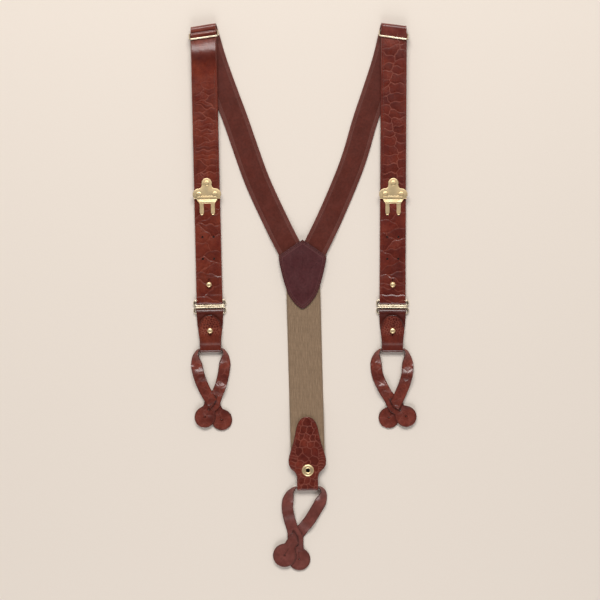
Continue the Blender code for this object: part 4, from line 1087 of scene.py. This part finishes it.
def hole_strap(side):
    """The strap the prongs hook into, folded round the keeper above and the double loop below."""
    placed = FRONT[side]
    rear = (290.5, 0.5)
    rows = even(0.6, [(278.5, -0.1), (284.5, -0.8)] + bend(rear, 1.4, 1.4, -90, 90, 6)
                + [(284.0, 1.85)])
    rows += [((276.0, 1.3), 1.1)]
    rows += even(STRAP, [(y, STRAP / 2) for y in (268.0, 220.0, 170.0, 120.0, 70.0, 30.0)])
    bar = (LOOP_RINGS[0][0], LOOP_Z - FRONT_LIFT)
    turn = LOOP_WIRE / 2 + CLEAR + 0.45
    rows += [((19.0, 1.75), 1.4), ((8.0, 1.8), 1.4), ((3.4, 1.9), 1.2),
             ((0.4, bar[1] + turn - 0.05), 1.0)]
    rows += even(0.9, bend(bar, 3.9, turn, 90, 270, 8)
                 + [(4.0, bar[1] - turn - 0.05), (24.0, -0.75)])
    joint = JOINTS[f"{side}_keeper_tilt"]
    axis = placed.to_3x3().inverted() @ -Vector(joint["axis"])
    skew = axis.y / axis.x
    spine = folded_spine(placed, rows, lambda y, share: np.full(len(y), HOLE_STRAP_WIDTH),
                         lambda y: skew * np.clip((y - 262.0) / 14.0, 0.0, 1.0),
                         lambda y: 116.0 < y < 262.0)
    line, _, normal, _, thick = spine
    along = run_of(line)

    def lower(distance, x, half):
        deep = np.clip(np.interp(distance[:, 0], along, thick) - 0.9, 0.0, 0.9)
        return recess(x, half) * deep[:, None], np.zeros_like(x)

    places = [(placed, x, y) for y in HOLE_ROWS for x in (-HOLE_SPREAD / 2, HOLE_SPREAD / 2)]
    cuts = [pegs("prong_holes", places, HOLE_RADIUS, -1.0, 3.2),
            pegs("stud_hole", [(placed, 0.0, STUD_UPPER)], 1.6, -3.0, 4.0),
            slit("stud_slit", placed, (0.0, STUD_UPPER), (0.0, STUD_UPPER + 7.0), 0.8, 0.2, 5.0)]
    scales = croc({"left": 41, "right": 57}[side], along[-1], HOLE_STRAP_WIDTH, (5.0, 11.0), (1,),
                  0.36, border=0.0, wrinkle=0.06, lines=0.3,
                  slope={"left": 0.06, "right": -0.15}[side])

    def grain(distance, x, half):
        """Pressed flat where the strap is folded under."""
        height, shade = scales(distance, x, half)
        upward = smooth(np.interp(distance, along, normal[:, 2]), -0.3, 0.6)
        return height * upward - 0.12 * (1.0 - upward), shade

    band(f"{side}_hole_strap_visible", blunt(spine, 0.5), SCALED[side],
         "croc_leather", f"{side}_hole_strap_body", (f"{side}_hole_strap",), top=60,
         under=under_shares(HOLE_STRAP_WIDTH / 2), relief=grooved(grain, 2.4, 0.15, 0.06),
         lower=lower, crown=0.1, cuts=cuts)
    local = moved(placed.inverted(), line)[:, 1]
    seen = (normal[:, 2] > 0.99) & (local > 3.0) & (local < 262.0)
    edge_stitches(f"{side}_hole_strap_stitches", [v[seen] for v in spine], 2.4, STRAP / 2 + 0.03,
                  f"{side}_hole_strap_body")
    stud(f"{side}_upper_stud", placed @ Vector((0.0, STUD_UPPER, -1.25)), 3.95,
         f"{side}_hole_strap_body")
    for node in (f"{side}_hole_strap_lining", f"{side}_front_run_lining"):
        for material_slot in frame["nodes"][node].material_slots:
            material_slot.material = UNDER


def stud(node, at, head, body):
    """A collar stud: screw, base disc, neck and a ball head that starts at a height."""
    lathe(f"{node}_visible", [(0.0, head + 3.9), (1.4, head + 3.72), (2.5, head + 3.1),
                              (3.0, head + 2.0), (2.6, head + 0.95), (1.4, head + 0.35),
                              (1.2, 1.9), (2.8, 1.85), (2.9, 1.6), (2.8, 1.3), (1.2, 1.25),
                              (1.2, 0.1), (0.0, 0.1)], Matrix.Translation(at), body, (node,))


def keeper(side):
    """The wire keeper, tilted forwards over the shoulder strap."""
    joint = JOINTS[f"{side}_keeper_tilt"]
    across = -Vector(joint["axis"]).normalized()
    up = FRONT[side].to_3x3().col[2].normalized()
    ahead = up.cross(across)
    up = across.cross(ahead)
    turn = Matrix((across, ahead, up)).transposed().to_4x4()
    along, height = KEEPER_TOP
    tall = math.hypot(along, height)
    placed = (Matrix.Translation(Vector(joint["pos_m"]) / MM) @ turn
              @ Matrix.Rotation(math.atan2(height, along), 4, "X")
              @ Matrix.Translation((0.0, tall / 2, 0.0)))
    line = moved(placed, ring_line(KEEPER_WIDTH, tall, 1.6))
    mesh_piece(f"{side}_keeper_visible", *wire_shell(line, KEEPER_WIRE / 2), GILT, "gilt_wire",
               f"{side}_keeper", (f"{side}_keeper_loop",))


def double_loop(side):
    """Two wire rings joined by short bridges between their middle bars."""
    placed = LEVEL[side] @ Matrix.Translation((0.0, 0.0, LOOP_Z))
    shells = []
    for a, b in LOOP_RINGS:
        at = placed @ Matrix.Translation((0.0, (a + b) / 2, 0.0))
        shells.append(wire_shell(moved(at, ring_line(LOOP_WIDTH, a - b, (a - b) / 2 - 0.2)),
                                 LOOP_WIRE / 2))
    for x in (-13.2, 13.2):
        run = [(x, LOOP_RINGS[0][1] - 2.1 * t, 0.1 * math.sin(math.pi * t)) for t in
               np.linspace(0, 1, 6)]
        shells.append(wire_shell(moved(placed, run), 0.65, closed=False, sides=14))
    mesh_piece(f"{side}_double_loop_visible", *joined(shells), GILT, "gilt_wire", f"{side}_loop",
               (f"{side}_double_loop",))


# ---------------------------------------------------------------- tabs

def arch(along, apex, rows):
    """Width of a rounded end: rows are (distance below its apex, width)."""
    far, wide = zip(*rows)
    return np.interp(np.sqrt(np.maximum(0.0, apex - along)), np.sqrt(far), wide)


def lower_tab(side):
    """The folded tab: over the double loop at its top, round the button strap at its bottom."""
    placed = LEVEL[side]
    bar = LOOP_RINGS[1][1]
    turn = (3.7 - 0.45) / 2
    rows = even(TAB, [(-19.8, 4.75), (-20.6, 4.68), (-22.2, 4.52), (-24.6, 4.25), (-28.8, 3.95),
                      (-44.0, 3.9), (-49.5, 4.0), (-53.5, 4.85)]
                + bend(EYE, 2.35, 2.35, 90, 270, 8) + [(-44.0, 0.6), (-26.0, 0.6)])
    rows += even(0.9, bend((bar, 0.45 + turn), 4.3, turn, -90, 90, 8)
                 + [(-21.8, 2.75), (-25.5, 2.25), (-33.5, 2.25)])

    def width(along, share):
        body = np.interp(along, (-60.5, -47.0, -30.0, -14.0), (23.0, 23.6, 28.0, 29.8))
        end = arch(along, -19.7, ((0.0, 1.5), (0.9, 9.0), (2.5, 14.0), (4.9, 18.6), (9.1, 23.4),
                                  (14.0, 25.6), (25.0, 26.0)))
        return np.where((share < 0.2) & (along > -34.0), np.minimum(end, body), body)

    spine = blunt(folded_spine(placed, rows, width), 0.5)
    count = len(spine[0])
    total = run_of(spine[0])[-1]
    cuts = [pegs("stud_hole", [(placed, 0.0, STUD_LOWER)], 1.6, -1.0, 6.0),
            slit("stud_slit", placed, (0.0, STUD_LOWER), (0.0, STUD_LOWER - 6.0), 0.8, 2.6, 6.0)]
    pebbles = croc({"left": 73, "right": 88}[side], 110.0, 28.0, (2.0, 3.2), (7, 8, 9), 0.2,
                   border=2.2, wrinkle=0.08, lines=0.75)
    pebbles = shown(pebbles, -4.0, 22.0)

    def grain(distance, x, half):
        height, shade = pebbles(distance, x, half)
        away = half - np.abs(x)
        on_flap = 1.0 - smooth(distance, 13.0, 16.0)
        rolled = smooth(distance, total - 24.0, total - 20.0)
        # Painted shade: a dark rim round the flap's arched edge, the leaf rolled over the loop's
        # bar and the leaf beside the arch; the flap is also a little darker overall.
        shade = shade - on_flap * (0.25 + 0.9 * hump(np.minimum(away, distance), 0.0, 1.0))
        return height, shade - 0.55 * rolled - 0.25 * smooth(distance, 16.0, 24.0) * (1.0 - rolled)

    band(f"{side}_lower_tab_visible", spine, SCALED[side],
         "croc_leather", f"{side}_tab", (f"{side}_lower_tab",), top=48, under=6,
         relief=grooved(grain, 1.9, 0.14, 0.05), rim=0.8, flesh=1.0, cuts=cuts)
    edge_stitches(f"{side}_tab_stitches", [v[3:math.ceil(count * 0.27)] for v in spine], 1.9,
                  TAB / 2 + 0.02, f"{side}_tab", pitch=2.4, long=1.7, wide=0.45)
    stud(f"{side}_lower_stud", placed @ Vector((0.0, STUD_LOWER, 0.25)), 4.45, f"{side}_tab")


def rear_tab():
    """The rear tab: two leaves with arched ends, folded round the rear button strap."""
    between = 2.4
    stops = (50.5, 38.0, 20.0, 5.0, -10.0, -15.0)
    path = ([(y, TAB * 1.5 + between) for y in stops] + bend(REAR_EYE, 2.35, 2.35, 90, 270, 8)
            + [(y, TAB / 2) for y in reversed(stops)])

    def width(along, share):
        return arch(along, 50.8, ((0.0, 1.0), (0.3, 4.4), (1.0, 8.2), (2.8, 13.8), (6.3, 19.0),
                                  (11.8, 23.4), (19.8, 26.6), (28.8, 30.6), (35.8, 35.4),
                                  (42.8, 39.6), (47.8, 41.4), (52.8, 40.8), (56.8, 36.5),
                                  (59.3, 31.0), (61.8, 26.0), (65.8, 23.3), (90.0, 23.3)))

    spine = blunt(folded_spine(REAR, even(TAB, path), width), 0.5)
    grain = croc(31, 160.0, 34.0, (7.0, 9.5), (2, 3, 4, 5, 4, 3), 0.34, border=2.4, wrinkle=0.06,
                 slope=0.14)
    at = Matrix.Translation(plan((8.1, -190.0)))
    band("rear_tab_visible", spine, CROC_DARK, "croc_leather", "rear_tab_body", ("rear_tab",),
         top=74, under=6, relief=grooved(grain, 2.1, 0.2, 0.12), rim=0.8, flesh=1.0,
         cuts=[pegs("eyelet_hole", [(at, 0.0, 0.0)], 3.1, -1.0, 8.0)])
    front = math.ceil(len(spine[0]) * 0.44)
    edge_stitches("rear_tab_stitches", [v[4:front] for v in spine], 2.1, TAB / 2 + 0.02,
                  "rear_tab_body", pitch=2.6)
    top = 0.9 + 2 * TAB + between
    lathe("rear_eyelet_visible", [(2.3, top + 0.8), (3.1, top + 1.35), (4.2, top + 1.5),
                                  (5.5, top + 1.3), (6.3, top + 0.8), (6.45, top + 0.3),
                                  (4.5, top + 0.25), (2.8, top + 0.2), (2.8, 2.0), (2.8, 0.1),
                                  (2.3, 0.1), (2.3, 2.0)], at, "rear_tab_body",
          ("rear_eyelet",), closed=True)
    # Painted shade: a dark sleeve inside the eyelet's bore.
    lathe("rear_eyelet_shade_sleeve", [(2.25, top + 0.6), (2.28, 2.6), (2.28, 0.2), (2.0, 0.15),
                                 (2.0, 2.6), (2.0, top + 0.4)], at, "rear_tab_body", closed=True,
          finish=SHADE_SLEEVE_METAL)
    lathe("eyelet_washer_visible", [(3.1, 0.55), (4.6, 0.6), (6.1, 0.5), (6.2, 0.3), (6.1, 0.05),
                                    (4.6, 0.0), (3.2, 0.05), (3.1, 0.3)], at, "rear_tab_body",
          ("eyelet_washer",), closed=True)


# ---------------------------------------------------------------- button straps

def crossing(first, second):
    """Where two lines in plan cross, as an index into each, after their first quarter."""
    a, b = first[len(first) // 4:], second[len(second) // 4:]
    far = np.linalg.norm(a[:, None, :2] - b[None, :, :2], axis=2)
    i, j = np.unravel_index(far.argmin(), far.shape)
    return i + len(first) // 4, j + len(second) // 4


def leg_line(eye, leg, radius):
    """A leg's middle line from the eye to its round end, and that end's centre and direction."""
    out = math.copysign(1.0, leg[0][0])
    whole = [(out * x, eye[0]) for x in (2.0, 8.0, 11.9)] + list(leg)
    line = spaced([(x, y, 0.0) for x, y in whole], 0.7)
    beyond = unit(line[-1] - line[-3])
    centre = line[-1]
    stem = line[run_of(line) < run_of(line)[-1] - radius + 0.3]
    disc = [centre + beyond * radius * math.sin(t)
            for t in np.radians(np.linspace(-88.0, 86.0, 46))]
    joint = spaced([stem[-2], stem[-1], disc[0], disc[1]], 0.7)[1:-1]
    return np.concatenate([stem[:-1], joint, disc[1:]]), centre, beyond, radius


def leg_spine(floor, eye_height, number, slitted, meet, line, centre, beyond, radius):
    """A leg's spine over the floor; it crosses the other leg a distance meet along itself."""
    run = run_of(line)
    ahead = unit(np.gradient(line, axis=0))
    square = np.stack([ahead[:, 1], -ahead[:, 0], 0 * run], axis=1)
    off = (line - centre) @ beyond
    round_end = 2 * np.sqrt(np.maximum(radius ** 2 - off ** 2, 0.25))
    round_end = np.where(off < -radius, 0.0, round_end)
    stem = np.where(off < 0.0, BUTTON_WIDTH, 0.0)
    width = (round_end ** 6 + stem ** 6) ** (1 / 6)
    width = np.minimum(width, np.interp(run, (2.0, 9.5, 13.5, 20.0, 27.0, 32.0),
                                        (2.3, 2.6, 5.0, 9.8, 12.6, 99.0)))
    lean = np.radians(np.interp(run, (4.0, 12.0, 20.0, 30.0), (55.0, 58.0, 34.0, 0.0)))
    lean = lean * (1.0 if line[0][0] > 0 else -1.0)
    if number == slitted:
        high = np.interp(run, (8.0, 30.0, meet + 8.0, meet + 16.0),
                         (eye_height, 1.8, 1.8, BUTTON_LEVELS[number]))
    else:
        near = BUTTON_LEVELS[slitted]
        high = np.interp(run, (8.0, meet - 12.0, meet - 3.4, meet + 3.4),
                         (eye_height, near, near, BUTTON_LEVELS[number]))
        high = np.convolve(np.pad(high, 3, "edge"), np.ones(7) / 7, "valid")
    high = high + 2.2 * hump(run, 42.0 + 14.0 * number, 7.5)
    clear = width / 2 * np.abs(np.sin(lean)) + BUTTON / 2 * np.cos(lean) + 0.1
    raised = np.stack([line[:, 0], line[:, 1], np.maximum(high, clear)], axis=1)
    level, steep = np.cos(lean)[:, None], np.sin(lean)[:, None]
    return [moved(floor, raised), turned(floor, square * level + UP * steep),
            turned(floor, UP * level - square * steep), width, np.full(len(run), BUTTON)]


def bulging(seed):
    """Croc scales on a strip that has been worn into slow bulges."""
    scales = croc(seed, 110.0, 14.0, (3.5, 7.0), (1, 2), 0.22, border=0.0, wrinkle=0.08, lines=0.3)

    def shape(distance, x, half):
        height, shade = scales(distance, x, half)
        bulge = 0.42 * np.sin(distance * 0.34 + 1.0) * np.cos(x * 0.22 + 0.4)
        return height + bulge - 0.2, 0.7 * shade
    return shape


def shaded_beside_slit(relief, meet):
    """A relief with a line of painted shade along the slit that the other leg comes through."""
    def shape(distance, x, half):
        height, shade = relief(distance, x, half)
        beside = hump(x, 0.0, 1.3) * (1.0 - smooth(np.abs(distance - meet), 8.0, 10.0))
        return height, shade - 0.8 * beside
    return shape


def opened(meet, sign):
    """A warp that spreads the slit, with one of its rails raised and the other lowered."""
    def warp(distance, x):
        open_up = hump(distance, meet, 6.5)
        return -0.95 * sign * np.sign(x) * open_up, 2.4 * np.sign(x) * open_up
    return warp


def button_strap(name, placed, eye, legs, radii, slitted, body, slot, finish, lift):
    """One strip through a tab's eye with two legs; one leg passes through the other's slit."""
    floor = Matrix.Translation((0.0, 0.0, -lift)) @ placed
    lines = [leg_line(eye, leg, radius) for leg, radius in zip(legs, radii)]
    meets = crossing(lines[0][0], lines[1][0])
    spines = [leg_spine(floor, eye[1] + lift, number, slitted, run_of(leg[0])[meets[number]], *leg)
              for number, leg in enumerate(lines)]
    skin = bulging(len(name) * 7) if finish is STRIP else quiet
    for number, (spine, (line, centre, beyond, radius)) in enumerate(zip(spines, lines)):
        middle = meets[number]
        warp = None
        cuts = []
        relief = edged(grooved(skin, 1.3, 0.14, 0.06), 0.6)
        if number == slitted:
            # The rail that the other leg comes over first goes down, and the far one up.
            meet = run_of(spine[0])[middle]
            other = spines[1 - number][0]
            k = meets[1 - number]
            inner_first = spine[1][middle] @ (other[k - 6] - other[k]) > 0
            warp = opened(meet, 1.0 if inner_first == (slitted == 1) else -1.0)
            relief = shaded_beside_slit(relief, meet)
            at = line[middle][:2]
            ahead = unit(line[middle + 2] - line[middle - 2])[:2]
            cuts.append(slit("crossing_slit", floor, at - ahead * 9.0, at + ahead * 9.0, 0.9,
                             -1.0, 6.0))
        level = BUTTON_LEVELS[number]
        back = centre - beyond * 8.5
        cuts.append(pegs("buttonhole", [(floor, centre[0], centre[1])], 1.7, level - 0.9,
                         level + 1.1, 0.3))
        cuts.append(slit("buttonhole_slit", floor, centre[:2], back[:2], 0.35, level - 0.1,
                         level + 1.1))
        band(f"{name}_leg_{number}", blunt(spine, 0.4), finish, slot, body, (name,), top=34,
             under=6, edge=0.45, relief=relief, warp=warp, rim=0.8, flesh=0.6, cuts=cuts)
        off = (line - centre) @ beyond
        pick = (off > -radius + 3.0) & (off < radius - 1.6)
        reach = np.sqrt(np.maximum(0.3, (radius - 1.3) ** 2 - off[pick] ** 2))
        for label, sign in (("inner", 1), ("outer", -1)):
            at = spine[0][pick] + spine[1][pick] * (sign * reach)[:, None] + UP * (BUTTON / 2)
            stitches(f"{name}_stitches_{number}_{label}", at, np.repeat(UP[None], len(at), axis=0),
                     body, slot, pitch=2.5, long=1.7, wide=0.42)


# ---------------------------------------------------------------- back

def yoke_outline():
    """Outline of the yoke: a kite with a drawn-out lower point."""
    half = [(0.0, 62.7), (0.9, 62.35), (12.0, 54.8), (25.2, 45.6), (26.15, 44.7), (25.4, 37.5),
            (22.6, 25.0), (19.3, 13.2), (15.2, 2.5), (9.5, -5.8), (4.2, -10.9), (0.0, -12.9)]
    middle = 2.2                # the yoke lies this far across in the drawing
    right = [(middle + x, y) for x, y in half]
    left = [(middle - x, y) for x, y in half[1:-1]]
    points = [plan(p)[:2] for p in right + left[::-1]]
    return spaced(points + [points[0]], 0.45)[:-1]


def yoke():
    """The two leather patches that hold the arms and the elastic between them."""
    outline = yoke_outline()
    centre = (0.0, 24.0)

    def sewn_with_painted_highlight(x, y, away):
        bed = 0.16 * (1.0 - smooth(away, 3.2, 4.3))
        groove = 0.16 * hump(away, 1.9, 0.4)
        swell = 0.30 * smooth(away, 3.0, 16.0) * np.cos(x * 0.06)
        strong = 0.25 + 0.55 * smooth(y, 36.0, 42.0)
        # The shade paints a highlight on the raised band along the stitched channel, strongest on
        # the upper edges.
        return bed - groove + swell - 0.15, strong * hump(away, 3.6, 0.45)

    for name, low, thick, finish, slot, relief in (
            ("yoke_inner_patch", 3.6, 1.0, YOKE, "yoke_leather", sewn_with_painted_highlight),
            ("yoke_outer_patch", 0.0, 1.2, CROC, "croc_leather", None)):
        points, faces, shades, away = plaque_shell(outline, centre, low, thick, 0.5, relief,
                                                   rings=64 if relief else 12)
        mesh_piece(f"{name}_visible", points, faces, finish, slot, "root", (name,),
                   {"skin": points * MM, "tone_and_painted_light": shades, "rim": (away < 0.3) * 0.7,
                    "flesh": 0 * away})
    line = np.array(outline)
    ahead = unit(np.roll(line, -1, axis=0) - np.roll(line, 1, axis=0))
    inward = np.stack([ahead[:, 1], -ahead[:, 0]], axis=1)
    inward = inward * np.sign(((np.array(centre) - line) * inward).sum(axis=1))[:, None]
    inset = line + inward * 1.9
    points = np.concatenate([inset, np.full((len(inset), 1), 4.62)], axis=1)
    points = np.concatenate([points, points[:1]])
    stitches("yoke_stitches", points, np.repeat(UP[None], len(points), axis=0), "root",
             "yoke_leather", pitch=2.7, long=1.9, wide=0.45)


def elastic():
    """The woven elastic web, from between the yoke's patches to between the rear tab's leaves."""
    y = np.arange(34.0, -184.0, -1.2)
    middle = 3.0 + math.tan(math.radians(1.55)) * (11.0 - y)
    base = np.interp(y, (-184.0, -134.0, -110.0, -40.0, -15.0, 34.0),
                     (2.55, 2.55, 0.1, 0.1, 1.5, 1.5))
    base = np.convolve(np.pad(base, 5, "edge"), np.ones(11) / 11, "valid")
    line = np.stack([middle, y, base + ELASTIC_THICK / 2], axis=1) + np.array(DRAWN)
    ahead = unit(np.gradient(line, axis=0))
    across = unit(np.stack([-ahead[:, 1], ahead[:, 0], 0 * y], axis=1))
    normal = np.cross(across, ahead)
    normal = normal * np.sign(normal[:, 2:3])
    spine = [line, across, normal, np.full(len(y), ELASTIC_WIDTH), np.full(len(y), ELASTIC_THICK)]
    pitch = ELASTIC_WIDTH / ELASTIC_RIBS

    def ribs_with_painted_shade(run, x, half):
        wave = np.cos(2 * np.pi * x / pitch)
        edge = hump(half - np.abs(x), 0.0, 1.1)
        slack = 0.10 * np.sin(run * 0.21 + x * 0.05) * smooth(run, 20.0, 60.0)
        # Painted shade in the valleys between ribs, and darker towards the web's edges.
        return 0.16 * wave * (1 - edge) + slack, 0.35 * (wave < -0.55) + 0.9 * edge

    def lower_ribs(run, x, half):
        return -0.1 * np.cos(2 * np.pi * x / pitch), np.zeros_like(x)

    made = band("elastic_web_visible", spine, ELASTIC, "elastic_webbing", None, ("elastic_web",),
                top=ELASTIC_RIBS * 7, under=ELASTIC_RIBS * 3, edge=0.5, relief=ribs_with_painted_shade,
                lower=lower_ribs)
    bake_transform(made)


# ---------------------------------------------------------------- assembly

for side_name in SIDES:
    shoulder = front_strap(side_name)
    arm(side_name, shoulder)
    hook_plate(side_name)
    hole_strap(side_name)
    keeper(side_name)
    double_loop(side_name)
    lower_tab(side_name)
    button_strap(f"{side_name}_button_strap", LEVEL[side_name], EYE, LEGS[side_name], (11.5, 11.5),
                 1, f"{side_name}_button", "croc_leather", STRIP, 0.0)
yoke()
elastic()
rear_tab()
button_strap("rear_button_strap", REAR, REAR_EYE, LEGS["rear"], (12.2, 12.8), 0, "rear_button",
             "lining_leather", REAR_STRIP, 0.9)


# ---------------------------------------------------------------- stage

CAMERA_HEIGHT = 1.6             # metres
VIEW = 0.66                     # metres across the picture


def floor_finish():
    """Warm white paper."""
    made, tree, shader = shader_tree("paper")
    where = add(tree, "ShaderNodeTexCoord").outputs["Object"]
    fibres = noise(tree, where, 900.0, 3.0)
    colour = ramp(tree, fibres, (0.3, (0.795, 0.718, 0.638)), (0.7, (0.810, 0.733, 0.653)))
    dress(tree, shader, Base_Color=colour, Roughness=0.9, Specular_IOR_Level=0.1)
    return made


def area_light(name, place, energy, size, colour):
    """An area light, as broad and as tall as size says, that faces the middle of the braces."""
    data = bpy.data.lights.new(name, "AREA")
    data.energy = energy
    data.shape = "RECTANGLE"
    data.size, data.size_y = size
    data.color = colour
    light = linked(name, data)
    light.location = place
    light.rotation_euler = (-light.location).to_track_quat("-Z", "Y").to_euler()


ground = bpy.data.meshes.new("floor")
ground.from_pydata([(x, y, -0.0002) for x, y in ((-3, -3), (3, -3), (3, 3), (-3, 3))], [],
                   [(0, 1, 2, 3)])
ground.materials.append(floor_finish())
floor = linked("floor", ground)

area_light("key", (-0.1, 1.7, 1.85), 59.0, (2.2, 0.9), (1.0, 0.98, 0.96))
area_light("front", (0.0, -1.8, 1.0), 18.0, (1.2, 1.0), (0.98, 0.98, 1.0))
world = bpy.data.worlds.new("room")
world.use_nodes = True
ways = add(world.node_tree, "ShaderNodeTexCoord").outputs["Generated"]
height = add(world.node_tree, "ShaderNodeSeparateXYZ", Vector=ways).outputs["Z"]
sky = ramp(world.node_tree, height, (0.0, (0.95, 0.90, 0.86)), (0.55, (0.34, 0.33, 0.32)),
           (0.9, (0.045, 0.042, 0.045)))
dress(world.node_tree, world.node_tree.nodes["Background"], Color=sky, Strength=0.85)
bpy.context.scene.world = world

lens = bpy.data.cameras.new("camera")
lens.lens = lens.sensor_width * CAMERA_HEIGHT / VIEW
camera = linked("camera", lens)
camera.location = (-0.00275, -0.0036, CAMERA_HEIGHT)
bpy.context.scene.camera = camera
bpy.context.scene.view_settings.view_transform = "Standard"
